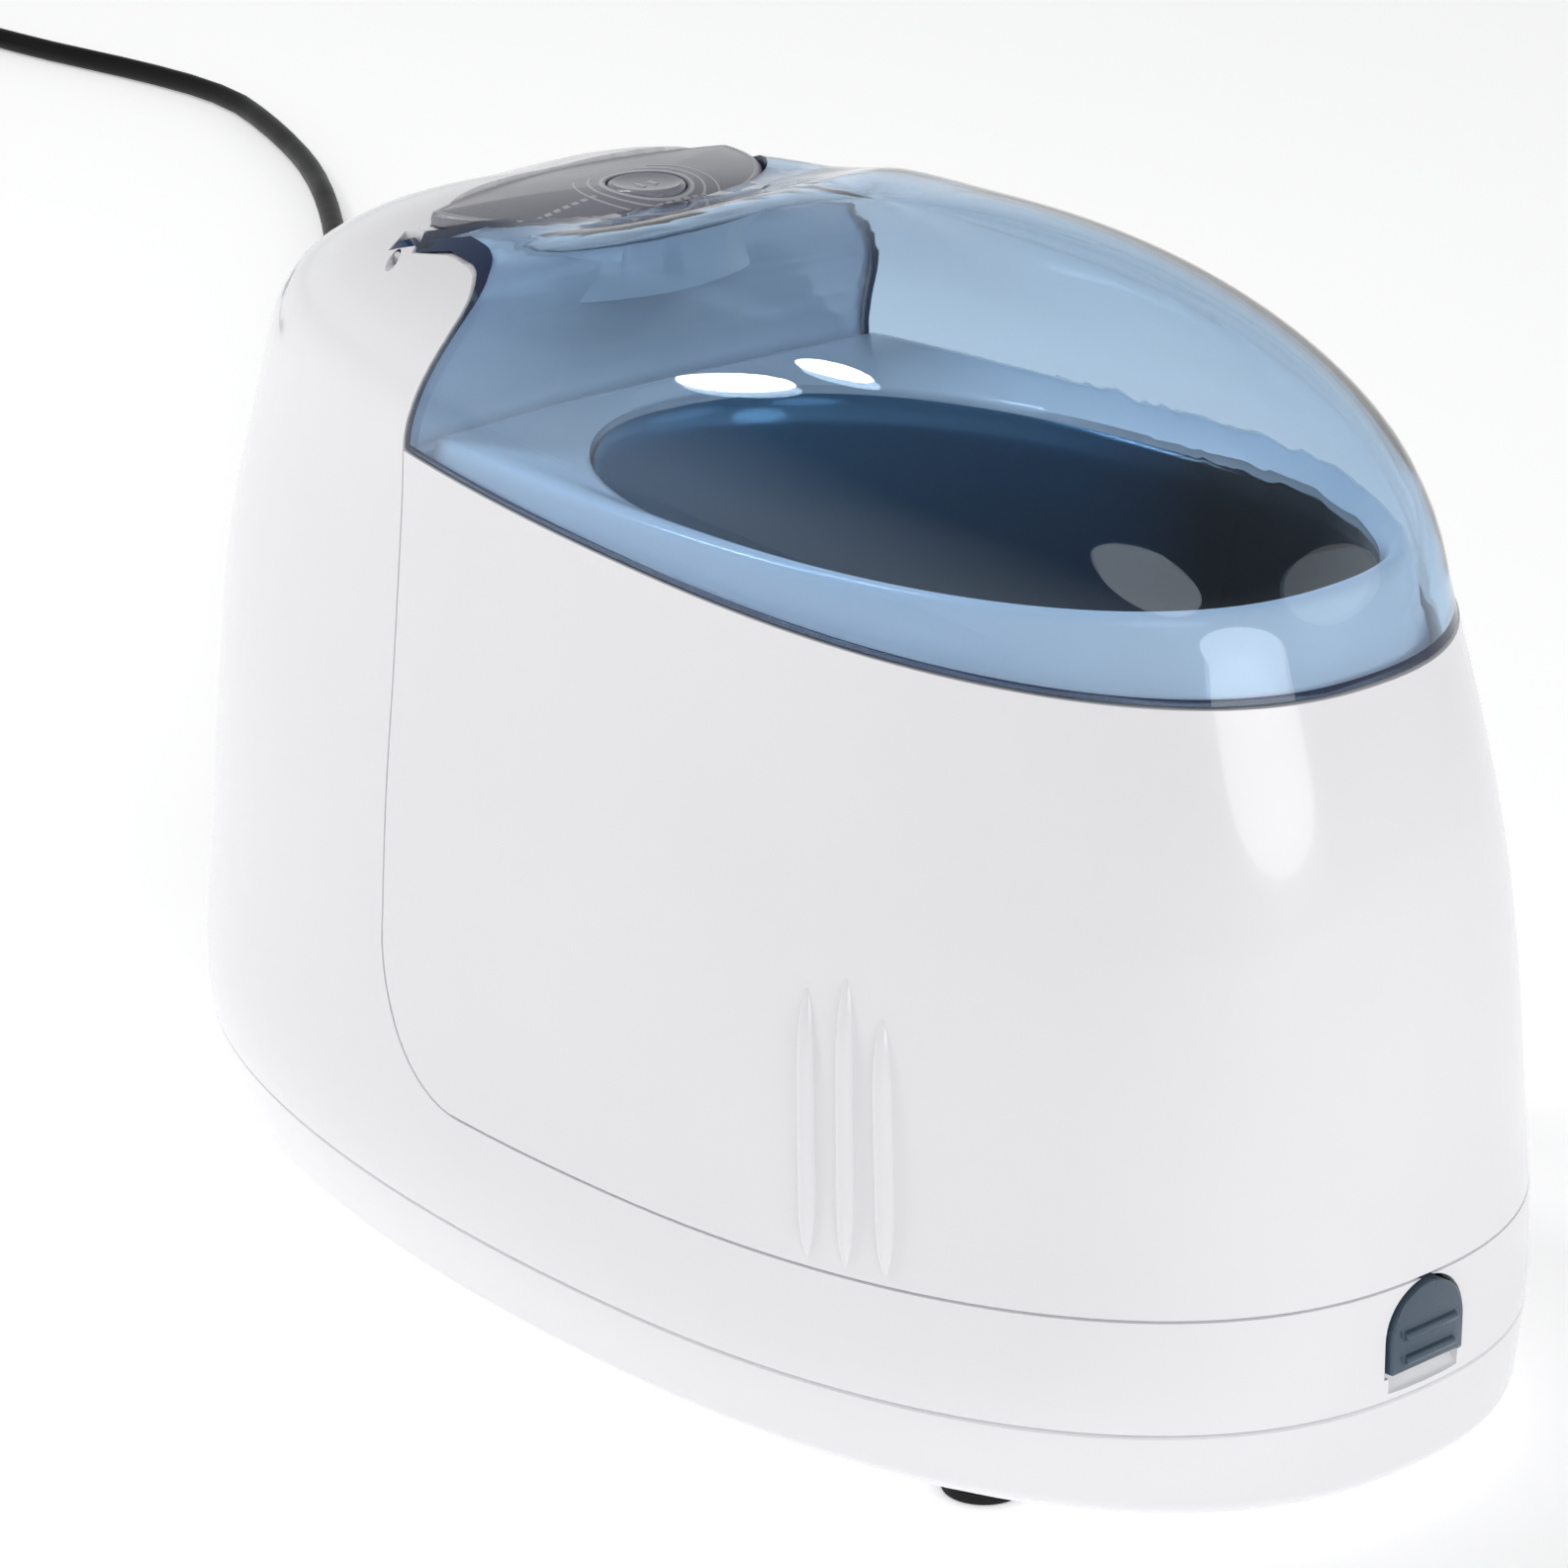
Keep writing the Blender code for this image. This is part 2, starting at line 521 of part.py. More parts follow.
def latch(mats):
    button = prism("latch_button", latch_outline(-0.0001), "Y", LATCH_FACE_Y + RIB_PROUD, LATCH_BACK_Y,
                   mats["latch"])
    for k, (half, z) in enumerate(((0.0044, 0.0222), (0.0048, 0.0256))):
        front = LATCH_FACE_Y
        root = LATCH_FACE_Y + RIB_PROUD + 0.0006
        outline = ((root, z), (front, z + 0.0002), (front, z + 0.0012), (root, z + 0.0018))
        boolean(button, prism(f"cut_latch_rib_{k + 1}", outline, "X", -half, half, None, True), "UNION")
    stem = rod("cut_latch_stem", (0, LATCH_BACK_Y - 0.001, 0.0262), (0, SPRING_FRONT_Y - 0.0003, 0.0262),
               0.0030, None, 20, True)
    boolean(button, stem, "UNION")
    hinge_parent(button, "latch_axis", (0, LATCH_FACE_Y, 0.0262))

    turns = 3.5
    count = 44
    curve = bpy.data.curves.new("latch_spring", "CURVE")
    curve.dimensions = "3D"
    curve.bevel_depth = 0.0004
    curve.bevel_resolution = 1
    curve.use_fill_caps = True
    spline = curve.splines.new("POLY")
    spline.points.add(count)
    for k in range(count + 1):
        t = k / count
        y = SPRING_FRONT_Y + 0.0004 + (SPRING_REAR_Y - SPRING_FRONT_Y - 0.0008) * t
        angle = tau * turns * t
        spline.points[k].co = (0.0024 * cos(angle), y, 0.0262 + 0.0024 * sin(angle), 1)
    curve.materials.append(mats["zinc"])
    spring = bpy.data.objects.new("latch_spring", curve)
    bpy.context.scene.collection.objects.link(spring)
    box("spring_bracket", (-0.0060, SPRING_REAR_Y + GAP, FLOOR_TOP_Z + GAP), (0.0060, -0.0935, 0.0292),
        mats["white"])


# ---------------------------------------------------------------- tank unit
def tank_ring(level, inset, floor=BAND_Z + GAP):
    """Ring of the tank unit: level 0 is its floor, level 1 its sloping rim."""
    points = []
    for k in range(STEPS):
        angle = tau * k / STEPS
        z = floor
        for _ in range(4):
            x, y = skin(angle, z, inset)
            y = min(y, column_line(max(z, BAND_Z), GAP + inset))
            z = floor + level * (rim_height(y) - floor)
        points.append((x, y, z))
    return points


def opening_ring(grow, z):
    """Ring of the tank opening, widened by grow."""
    points = []
    for k in range(STEPS):
        angle = tau * k / STEPS
        c = cos(angle)
        s = sin(angle)
        x = (OPENING_HALF_WIDTH + grow) * (abs(c) ** (2 / OPENING_POWER)) * (1 if c > 0 else -1)
        y = OPENING_Y + (OPENING_HALF_LENGTH + grow) * (abs(s) ** (2 / OPENING_POWER)) * (1 if s > 0 else -1)
        points.append((x, y, z))
    return points


def tank_shell(mats):
    outer = [tank_ring(level, 0.0) for level in (0.0, 0.05, 0.12, 0.22, 0.45, 0.7, 0.85, 1.0)]
    floor_in = BAND_Z + GAP + WALL
    inner = [tank_ring(level, WALL, floor_in) for level in (0.93, 0.7, 0.45, 0.2, 0.1, 0.0)]
    rim = [tank_ring(1.0, WALL, floor_in)]
    shell = stacked("tank_shell", outer + rim + inner, mats["white"])
    for side in (-1, 1):
        for k in range(3):
            boolean(shell, grip_rib(side, k), "UNION")
    notch = prism("cut_shell_notch", latch_outline(GAP + 0.0001), "Y", -0.130, -0.104, None, True)
    boolean(shell, notch, "DIFFERENCE")
    port = box("cut_tank_port", (-0.0104, -0.0304, 0.030), (0.0104, -0.0136, 0.040), None, True)
    boolean(shell, port, "DIFFERENCE")


def grip_rib(side, index):
    """Upright finger rib with pointed ends, standing a little proud of the tank wall."""
    y0 = -0.0592 - 0.0056 * index
    low = 0.0345
    high = (0.0690, 0.0715, 0.0675)[index]
    rings = []
    for k in range(9):
        t = k / 8
        z = low + (high - low) * t
        half = 0.0003 + 0.0011 * (1 - abs(2 * t - 1) ** 2.2)
        y = y0 + 0.0040 * t
        depth = 0.0002 + 0.0009 * (1 - abs(2 * t - 1) ** 2.2)
        angle = wall_angle(y, z)
        x, _ = skin(angle, z)
        rings.append([(side * (x - 0.0012), y - half, z), (side * (x - 0.0012), y + half, z),
                      (side * (x + depth * 0.7), y + half * 0.7, z), (side * (x + depth), y, z),
                      (side * (x + depth * 0.7), y - half * 0.7, z)])
    return stacked(f"cut_rib_{'left' if side < 0 else 'right'}_{index + 1}", rings, None, cutter=True)


def wall_angle(y, z):
    """Plan angle at which the outer form passes through y at height z, on the +X side."""
    low = -pi / 2
    high = 0.0
    for _ in range(24):
        middle = (low + high) / 2
        if skin(middle, z)[1] < y:
            low = middle
        else:
            high = middle
    return (low + high) / 2


def tank_deck(mats):
    """Collar that closes the tank unit round the basin: a raised lip that falls like a funnel."""
    def outer_ring(z, inset):
        points = []
        for k in range(STEPS):
            x, y = skin(tau * k / STEPS, z, inset)
            points.append((x, min(y, COLUMN_Y - inset), z))
        return points
    clear = WALL + 2 * GAP
    low = [(x, y, z - 0.0045) for x, y, z in tank_ring(1.0, clear)]
    lip = outer_ring(DECK_TOP_Z, clear + 0.0018)
    rings = [low, outer_ring(0.1180, clear + 0.0008), lip,
             blend_ring(lip, opening_ring(0.0, DECK_TOP_Z), 0.25, 0.1192),
             blend_ring(lip, opening_ring(0.0, DECK_TOP_Z), 0.70, 0.1172),
             opening_ring(0.0004, BASIN_RIM_Z + 0.0004), opening_ring(0.0004, BASIN_RIM_Z - 0.0008)]
    under = [blend_ring(low, opening_ring(0.0, DECK_TOP_Z), 0.97, BASIN_RIM_Z - 0.0030)]
    under += [blend_ring(low, opening_ring(0.0, DECK_TOP_Z), 0.40, 0.1130)]
    inner_low = [(x, y, z - 0.0045) for x, y, z in tank_ring(1.0, clear + WALL * 0.8)]
    stacked("tank_deck", rings + under + [inner_low], mats["white"], closed=True)


def blend_ring(first, second, share, z):
    return [(a[0] + (b[0] - a[0]) * share, a[1] + (b[1] - a[1]) * share, z) for a, b in zip(first, second)]


def tank_basin(mats):
    """Pressed stainless basin: rolled lip, near-upright wall, round bottom corner."""
    sheet = BASIN_SHEET
    low = BASIN_FLOOR_Z
    top = BASIN_RIM_Z
    inner = [opening_ring(-0.0004, top - 0.0002), opening_ring(-0.0012, top - 0.0020),
             opening_ring(-0.0020, top - 0.0200), opening_ring(-0.0034, low + 0.0160),
             opening_ring(-0.0050, low + 0.0080), opening_ring(-0.0085, low + 0.0030),
             opening_ring(-0.0140, low + 0.0006), opening_ring(-0.0200, low)]
    outer = [opening_ring(-0.0200, low - sheet), opening_ring(-0.0136, low - sheet + 0.0006),
             opening_ring(-0.0079, low + 0.0024), opening_ring(-0.0042, low + 0.0078),
             opening_ring(-0.0026, low + 0.0160), opening_ring(-0.0012, top - 0.0200),
             opening_ring(-0.0004, top - 0.0032), opening_ring(0.0000, top - 0.0006)]
    stacked("tank_basin", inner[::-1] + outer[::-1], mats["steel"])


def transducer(mats):
    """Bolt-clamped transducer glued under the basin floor."""
    top = BASIN_FLOOR_Z - BASIN_SHEET - 0.0003
    place = (0, OPENING_Y + 0.010, 0)
    down = (0, 0, 1)
    ring_solid("transducer_horn", ((0.0040, top - 0.0075), (0.0150, top - 0.0075), (0.0200, top),
                                   (0.0040, top)), place, down, mats["aluminium"], 24)
    for k in range(2):
        high = top - 0.0078 - 0.0033 * k
        ring_solid(f"piezo_ring_{k + 1}", ((0.0040, high - 0.0030), (0.0145, high - 0.0030), (0.0145, high),
                                           (0.0040, high)), place, down, mats["ceramic"], 24)
    high = top - 0.0078 - 0.0066
    ring_solid("transducer_back", ((0.0040, high - 0.0035), (0.0140, high - 0.0035), (0.0140, high),
                                   (0.0040, high)), place, down, mats["iron"], 24)
    rod("transducer_bolt", (0, place[1], BAND_Z + 0.0036), (0, place[1], top - GAP), 0.0034, mats["zinc"], 16)


def tank_connector(mats):
    box("tank_plug", (-0.0100, -0.0300, BAND_Z + 0.0006), (0.0100, -0.0140, BAND_Z + 0.0026), mats["latch"])
    box("base_socket", (-0.0100, -0.0300, 0.0200), (0.0100, -0.0140, BAND_Z), mats["latch"])


# ---------------------------------------------------------------- lid
def lid(mats):
    """Domed see-through lid; its skin continues the housing's form."""
    cover = form("lid", 0.0900, 0.0002, mats["lid"])
    inner = form("cut_lid_inner", 0.0800, 0.0026, None, True)
    boolean(cover, inner, "DIFFERENCE")
    start = (-FAR, rim_height(-FAR) + GAP)
    corner = (COLUMN_Y - GAP, rim_height(COLUMN_Y) + GAP)
    side = [start, corner] + head_line(GAP)[1:] + [(HINGE_Y - GAP, FAR), (-FAR, FAR)]
    boolean(cover, prism("cut_lid_side", side, "X", -FAR, FAR, None, True), "INTERSECT")
    notch = prism("cut_lid_notch", panel_outline(-0.0006, 0.0600), "Z", 0.1200, 0.1700, None, True)
    boolean(cover, notch, "DIFFERENCE")
    for side_sign in (-1, 1):
        name = "left" if side_sign < 0 else "right"
        x0, x1 = sorted((side_sign * EAR_X[0], side_sign * EAR_X[1]))
        neck = [(0.0432, HINGE_Z + 0.0030), (0.0432, HINGE_Z - 0.0012), (HINGE_Y - 0.0004, HINGE_Z - 0.0017)]
        neck += arc((HINGE_Y, HINGE_Z), EAR_RADIUS, 270, 450, 12)
        neck += [(HINGE_Y - 0.0024, HINGE_Z + 0.0012)]
        ear = prism(f"cut_lid_ear_{name}", neck, "X", x0, x1, None, True)
        boolean(cover, ear, "UNION")
        hole = rod(f"cut_lid_hole_{name}", (side_sign * 0.0260, HINGE_Y, HINGE_Z),
                   (side_sign * 0.0320, HINGE_Y, HINGE_Z), PIN_RADIUS + 0.00006, None, 24, True)
        boolean(cover, hole, "DIFFERENCE")
    hinge_parent(cover, "lid_axis", (0, HINGE_Y, HINGE_Z))


# ---------------------------------------------------------------- mains lead
def smooth_route(points, spacing):
    """Points every spacing along a Catmull-Rom curve through the route."""
    dense = []
    for k in range(len(points) - 1):
        p0 = Vector(points[max(k - 1, 0)])
        p1 = Vector(points[k])
        p2 = Vector(points[k + 1])
        p3 = Vector(points[min(k + 2, len(points) - 1)])
        for step in range(24):
            t = step / 24
            dense.append(0.5 * (2 * p1 + (p2 - p0) * t + (2 * p0 - 5 * p1 + 4 * p2 - p3) * t * t
                                + (3 * p1 - p0 - 3 * p2 + p3) * t * t * t))
    dense.append(Vector(points[-1]))
    total = sum((b - a).length for a, b in zip(dense, dense[1:]))
    count = max(int(total / spacing), 2)
    picked = [dense[0]]
    walked = 0.0
    target = total / count
    for a, b in zip(dense, dense[1:]):
        walked += (b - a).length
        if walked >= target and len(picked) < count:
            picked.append(b)
            target += total / count
    picked.append(dense[-1])
    return picked


def cord_exit():
    """Place on the bottom cover's skin where the lead leaves, and the way it heads."""
    before = Vector(skin(EXIT_ANGLE - 0.01, CORD_EXIT_Z))
    after = Vector(skin(EXIT_ANGLE + 0.01, CORD_EXIT_Z))
    along_skin = (after - before).normalized()
    return Vector((*((before + after) / 2), CORD_EXIT_Z)), Vector((along_skin.y, -along_skin.x, 0))


def cord_tube(name, route, mats):
    points = smooth_route(route, 0.0125)
    curve = bpy.data.curves.new(name, "CURVE")
    curve.dimensions = "3D"
    curve.bevel_depth = CORD_RADIUS
    curve.bevel_resolution = 2
    curve.use_fill_caps = True
    spline = curve.splines.new("POLY")
    spline.points.add(len(points) - 1)
    for point, place in zip(spline.points, points):
        point.co = (*place, 1)
    curve.materials.append(mats["cord"])
    obj = bpy.data.objects.new(name, curve)
    bpy.context.scene.collection.objects.link(obj)


def mains_lead(mats):
    place, heading = cord_exit()
    neck = BOOT_NECK_RADIUS
    boot = ((0.0050, -0.0076), (0.0050, -0.0064), (neck, -0.0062), (neck, 0.0008), (0.0052, 0.0010),
            (0.0050, 0.0026), (0.0034, BOOT_REACH - 0.0004), (0.0030, BOOT_REACH))
    turned("strain_relief", boot, place, heading, mats["cord"], 20)
    start = [place + heading * (BOOT_REACH + 0.0006), place + heading * (BOOT_REACH + 0.0100)]
    start[1].z -= 0.0008
    cord_tube("mains_cord", start + list(CORD_ROUTE), mats)
    cord_tube("cord_tail", TAIL_ROUTE, mats)
    low = COIL_RADIUS - COIL_HALF_WIDTH
    high = COIL_RADIUS + COIL_HALF_WIDTH
    soft = 0.0020
    profile = ((low, soft), (low + soft, 0.0002), (high - soft, 0.0002), (high, soft),
               (high, COIL_HEIGHT - soft), (high - soft, COIL_HEIGHT), (low + soft, COIL_HEIGHT),
               (low, COIL_HEIGHT - soft))
    ring_solid("cord_coil", profile, (*COIL_CENTRE, 0), (0, 0, 1), mats["cord"], 32)
    mains_plug(mats)


def mains_plug(mats):
    """Flat two-pin plug lying on its side at the end of the tail."""
    heading = Vector((*PLUG_HEADING, 0)).normalized()
    side = Vector((-heading.y, heading.x, 0))
    start = Vector((*PLUG_START, 0.0086))
    rings = []
    stations = ((0.0004, 0.0034, 0.0036), (0.0100, 0.0046, 0.0046), (0.0160, 0.0105, 0.0070),
                (0.0230, 0.0125, 0.0082), (0.0370, 0.0125, 0.0082), (0.0385, 0.0115, 0.0074))
    for reach, half_width, half_height in stations:
        row = []
        for k in range(20):
            a = tau * k / 20
            c = cos(a)
            s = sin(a)
            across = half_width * (abs(c) ** 0.7) * (1 if c > 0 else -1)
            up = half_height * (abs(s) ** 0.7) * (1 if s > 0 else -1)
            height = 0.0002 + half_height + up
            place = start + heading * reach + side * across
            row.append((place.x, place.y, height))
        rings.append(row)
    stacked("mains_plug", rings, mats["cord"])
    for k, sign in enumerate((-1, 1)):
        low = start + heading * 0.0388 + side * sign * 0.0064
        centre = low + heading * 0.0085
        outline = []
        for u, v in ((-0.0085, -0.0008), (0.0078, -0.0008), (0.0085, 0.0), (0.0078, 0.0008),
                     (-0.0085, 0.0008)):
            place = centre + heading * u + side * v
            outline.append((place.x, place.y))
        prism(f"plug_blade_{k + 1}", outline, "Z", 0.0052, 0.0114, mats["brass"])


def main():
    clear_scene()
    mats = make_materials()
    bottom_cover(mats)
    feet_and_screws(mats)
    electronics(mats)
    base_housing(mats)
    control_panel(mats)
    latch(mats)
    tank_shell(mats)
    tank_deck(mats)
    tank_basin(mats)
    transducer(mats)
    tank_connector(mats)
    lid(mats)
    mains_lead(mats)


main()
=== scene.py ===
"""Looks of the ultrasonic cleaner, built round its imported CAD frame."""
from math import atan2, cos, exp, log, pi, sin, sqrt, tau

import bmesh
import bpy
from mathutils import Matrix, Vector
from mathutils.bvhtree import BVHTree


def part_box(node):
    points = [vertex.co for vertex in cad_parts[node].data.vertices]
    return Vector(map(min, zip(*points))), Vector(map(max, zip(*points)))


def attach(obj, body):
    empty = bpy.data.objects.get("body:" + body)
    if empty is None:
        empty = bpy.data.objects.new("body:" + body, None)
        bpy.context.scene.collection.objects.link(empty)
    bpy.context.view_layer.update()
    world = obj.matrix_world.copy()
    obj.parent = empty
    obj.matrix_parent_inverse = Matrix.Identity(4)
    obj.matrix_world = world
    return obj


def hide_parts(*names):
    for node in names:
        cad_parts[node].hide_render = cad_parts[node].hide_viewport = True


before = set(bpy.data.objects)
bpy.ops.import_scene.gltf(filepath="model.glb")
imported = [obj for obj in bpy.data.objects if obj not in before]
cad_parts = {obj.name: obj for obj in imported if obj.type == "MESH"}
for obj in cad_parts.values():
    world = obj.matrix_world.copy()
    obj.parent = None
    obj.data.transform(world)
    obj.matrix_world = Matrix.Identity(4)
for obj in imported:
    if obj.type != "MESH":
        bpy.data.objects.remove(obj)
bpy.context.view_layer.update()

# ---- dimensions, the same as the CAD's, in metres
STEPS = 144
WALL = 0.0024
GAP = 0.0004
CENTRE_Y = -0.0190
SIDE_Z = (0.0049, 0.0220, 0.0450, 0.0700, 0.0900, 0.1150)
SIDE_HALF_WIDTH = (0.0573, 0.0607, 0.0579, 0.0548, 0.0514, 0.0478)
SIDE_FRONT = (0.1139, 0.1145, 0.1138, 0.1119, 0.1084, 0.1004)
SIDE_REAR = (0.1120, 0.1146, 0.1137, 0.1127, 0.1106, 0.1028)
PLAN_POWER_FRONT = 2.30
PLAN_POWER_REAR = 2.06
DOME_Z = 0.1150
APEX_Y = -0.0130
APEX_Z = 0.1538
DOME_POWER_FRONT = 1.78
DOME_POWER_SIDE = 2.20
DOME_POWER_REAR = 1.78
SHOULDER_POWER = 0.30
BASE_Z = 0.0049
SEAM_Z = 0.0176
BAND_Z = 0.0330
PAD_TOP_Z = 0.0017
SCREW_SEAT_Z = 0.0056
FLOOR_TOP_Z = BASE_Z + 0.0022
COLUMN_Y = 0.0335
COLUMN_FOOT_Y = 0.0280
CORNER_RADIUS = 0.0220
CORNER_Z = BAND_Z + CORNER_RADIUS
RIM_Z = 0.1153
RIM_SLOPE = 0.061
HINGE_Y = 0.0490
HINGE_Z = 0.1382
HINGE_CLEAR = 0.0041
EAR_RADIUS = 0.0024
EAR_X = (0.0278, 0.0298)
PIN_RADIUS = 0.0010
PANEL_HALF_WIDTH = 0.0270
PANEL_DEPTH = 0.0225
PANEL_REAR_Y = 0.0465
PANEL_BOW = 0.0060
POD_TOP_Z = 0.1424
PANEL_EDGE_Z = 0.1444
PANEL_CROWN = 0.0022
PLATEAU_Z = 0.1458
PLATEAU_FRONT_Y = 0.0260
PLATEAU_SLOPE = 0.17
PLATEAU_BOW = 5.0
PLATEAU_SOFT = 0.0008
BUTTON_Y = 0.0330
BUTTON_RADIUS = 0.0054
MARK_LIFT = 0.00006
DASH_PITCH = 0.0016
DASH_LENGTH = 0.0010
RING_RADIUS = 0.0063
BORDER_INSET = 0.0008
OPENING_Y = -0.0320
OPENING_HALF_LENGTH = 0.0590
OPENING_HALF_WIDTH = 0.0370
OPENING_POWER = 2.25
BASIN_RIM_Z = 0.1158
BASIN_FLOOR_Z = 0.0560
BASIN_SHEET = 0.0008
DECK_TOP_Z = 0.1195
LATCH_HALF_WIDTH = 0.0068
LATCH_FOOT_Z = 0.0212
LATCH_ARCH_Z = 0.0258
LATCH_FACE_Y = -0.1158
LATCH_BACK_Y = -0.1105
RIB_PROUD = 0.0009
SCOOP_Z = 0.0184
CORD_RADIUS = 0.0025
CORD_EXIT_Z = 0.0125
COIL_CENTRE = (0.2874, 0.7018)
EXIT_ANGLE = 1.34
BOOT_REACH = 0.0270
BOOT_NECK_RADIUS = 0.0036
PLUG_START = (0.1560, 0.7010)
PLUG_HEADING = (-0.985, -0.174)
CORD_ROUTE = (
    (0.0445, 0.1670, 0.0062), (0.0570, 0.1860, 0.0034), (0.0740, 0.2080, 0.0027),
    (0.1010, 0.2420, 0.0027), (0.1330, 0.2810, 0.0027), (0.1680, 0.3220, 0.0027),
    (0.2030, 0.3620, 0.0027), (0.2380, 0.4040, 0.0027), (0.2749, 0.4486, 0.0027),
    (0.3092, 0.5006, 0.0027), (0.3325, 0.5530, 0.0027), (0.3375, 0.5800, 0.0027),
    (0.3365, 0.6050, 0.0027), (0.3330, 0.6355, 0.0027), (0.3315, 0.6620, 0.0027),
    (0.3300, 0.6830, 0.0027),
)
TAIL_ROUTE = (
    (0.2690, 0.7425, 0.0027), (0.2450, 0.7400, 0.0027), (0.2150, 0.7250, 0.0027),
    (0.1850, 0.7110, 0.0027), (0.1650, 0.7035, 0.0030), (0.1560, 0.7010, 0.0034),
)


# ---- materials
class Nodes:
    """A small helper that wires one node material."""

    def __init__(self, name):
        self.mat = bpy.data.materials.new(name)
        self.mat.use_nodes = True
        self.tree = self.mat.node_tree
        self.shader = self.tree.nodes["Principled BSDF"]
        self.out = self.tree.nodes["Material Output"]
        self.place = self.new("ShaderNodeTexCoord").outputs["Object"]

    def new(self, kind, **values):
        node = self.tree.nodes.new(kind)
        for key, value in values.items():
            setattr(node, key, value)
        return node

    def link(self, source, target):
        self.tree.links.new(source, target)

    def noise(self, scale, detail=3.0, roughness=0.5, stretch=None):
        node = self.new("ShaderNodeTexNoise")
        node.inputs["Scale"].default_value = scale
        node.inputs["Detail"].default_value = detail
        node.inputs["Roughness"].default_value = roughness
        source = self.place
        if stretch:
            mapping = self.new("ShaderNodeMapping")
            mapping.inputs["Scale"].default_value = stretch
            self.link(source, mapping.inputs["Vector"])
            source = mapping.outputs["Vector"]
        self.link(source, node.inputs["Vector"])
        return node.outputs["Fac"]

    def ramp(self, source, low, high, first, second):
        """Maps source from low..high to the range first..second."""
        node = self.new("ShaderNodeMapRange")
        node.inputs["From Min"].default_value = low
        node.inputs["From Max"].default_value = high
        node.inputs["To Min"].default_value = first
        node.inputs["To Max"].default_value = second
        self.link(source, node.inputs["Value"])
        return node.outputs["Result"]

    def colours(self, source, *stops):
        node = self.new("ShaderNodeValToRGB")
        elements = node.color_ramp.elements
        while len(elements) < len(stops):
            elements.new(0.5)
        for element, (position, colour) in zip(elements, stops):
            element.position = position
            element.color = (*colour, 1.0)
        self.link(source, node.inputs["Fac"])
        return node.outputs["Color"]

    def bump(self, height, strength, distance, after=None):
        node = self.new("ShaderNodeBump")
        node.inputs["Strength"].default_value = strength
        node.inputs["Distance"].default_value = distance
        self.link(height, node.inputs["Height"])
        if after:
            self.link(after, node.inputs["Normal"])
        return node.outputs["Normal"]

    def set(self, **values):
        for key, value in values.items():
            self.shader.inputs[key.replace("_", " ")].default_value = value

    def feed(self, key, source):
        self.link(source, self.shader.inputs[key])


def moulded(name, light, dark, rough_low, rough_high, grain_scale, grain, coat=0.0, flow=0.35, gloss=0.5):
    """Moulded plastic: faint colour drift, uneven polish and a fine surface."""
    m = Nodes(name)
    drift = m.noise(18.0, 4.0)
    m.feed("Base Color", m.colours(drift, (0.30, dark), (0.70, light)))
    m.feed("Roughness", m.ramp(m.noise(60.0, 5.0, 0.6), 0.3, 0.7, rough_low, rough_high))
    wave = m.bump(m.noise(26.0, 2.0), flow, 0.00004)
    m.feed("Normal", m.bump(m.noise(grain_scale, 2.0), grain, 0.00003, wave))
    m.set(Coat_Weight=coat, Coat_Roughness=0.05, IOR=1.5, Specular_IOR_Level=gloss)
    return m.mat


def metal(name, light, dark, rough_low, rough_high, stretch, scale=260.0, grain=0.25):
    """Brushed or turned metal, its lines along the short axes of stretch."""
    m = Nodes(name)
    lines = m.noise(scale, 4.0, 0.6, stretch)
    m.feed("Base Color", m.colours(lines, (0.25, dark), (0.75, light)))
    m.feed("Roughness", m.ramp(lines, 0.25, 0.75, rough_low, rough_high))
    m.feed("Normal", m.bump(lines, grain, 0.00003))
    m.set(Metallic=1.0)
    return m.mat


def steel_painted_reflection_shade(name):
    """Steel with painted reflection and shade: a painted bluish reflection towards the column, painted shade
    near black towards the front, with faint draw lines.
    """
    m = Nodes(name)
    split = m.new("ShaderNodeSeparateXYZ")
    m.link(m.place, split.inputs["Vector"])
    # Painted reflection and shade, not the steel's own colour: near black at the front, bluish towards the
    # column.
    painted_shade_along_y = m.ramp(split.outputs["Y"], -0.078, 0.030, 0.0, 1.0)
    tone = m.colours(painted_shade_along_y, (0.0, (0.010, 0.012, 0.016)), (0.35, (0.006, 0.016, 0.026)),
                     (0.58, (0.030, 0.095, 0.170)), (1.0, (0.120, 0.260, 0.400)))
    m.feed("Base Color", tone)
    lines = m.noise(60.0, 4.0, 0.6, (1.0, 1.0, 26.0))
    m.feed("Roughness", m.ramp(lines, 0.25, 0.75, 0.12, 0.20))
    m.feed("Normal", m.bump(lines, 0.08, 0.00003))
    m.set(Metallic=0.35, Specular_IOR_Level=0.25)
    return m.mat


def clear_blue(name):
    """Clear blue moulding: the colour deepens with the thickness looked through."""
    m = Nodes(name)
    m.feed("Roughness", m.ramp(m.noise(90.0, 4.0), 0.3, 0.7, 0.008, 0.028))
    m.feed("Normal", m.bump(m.noise(22.0, 2.0), 0.20, 0.00003))
    m.set(Base_Color=(1.0, 1.0, 1.0, 1.0), Transmission_Weight=1.0, IOR=1.50)
    through = m.new("ShaderNodeBsdfTransparent")
    through.inputs["Color"].default_value = (0.84, 0.91, 0.97, 1.0)
    path = m.new("ShaderNodeLightPath")
    mix = m.new("ShaderNodeMixShader")
    m.link(path.outputs["Is Shadow Ray"], mix.inputs["Fac"])
    m.link(m.shader.outputs["BSDF"], mix.inputs[1])
    m.link(through.outputs["BSDF"], mix.inputs[2])
    m.link(mix.outputs["Shader"], m.out.inputs["Surface"])
    volume = m.new("ShaderNodeVolumeAbsorption")
    volume.inputs["Color"].default_value = LID_VOLUME_COLOUR
    volume.inputs["Density"].default_value = LID_VOLUME_DENSITY
    m.link(volume.outputs["Volume"], m.out.inputs["Volume"])
    return m.mat


LID_VOLUME_COLOUR = (0.05, 0.47, 0.80, 1.0)
LID_VOLUME_DENSITY = 135.0


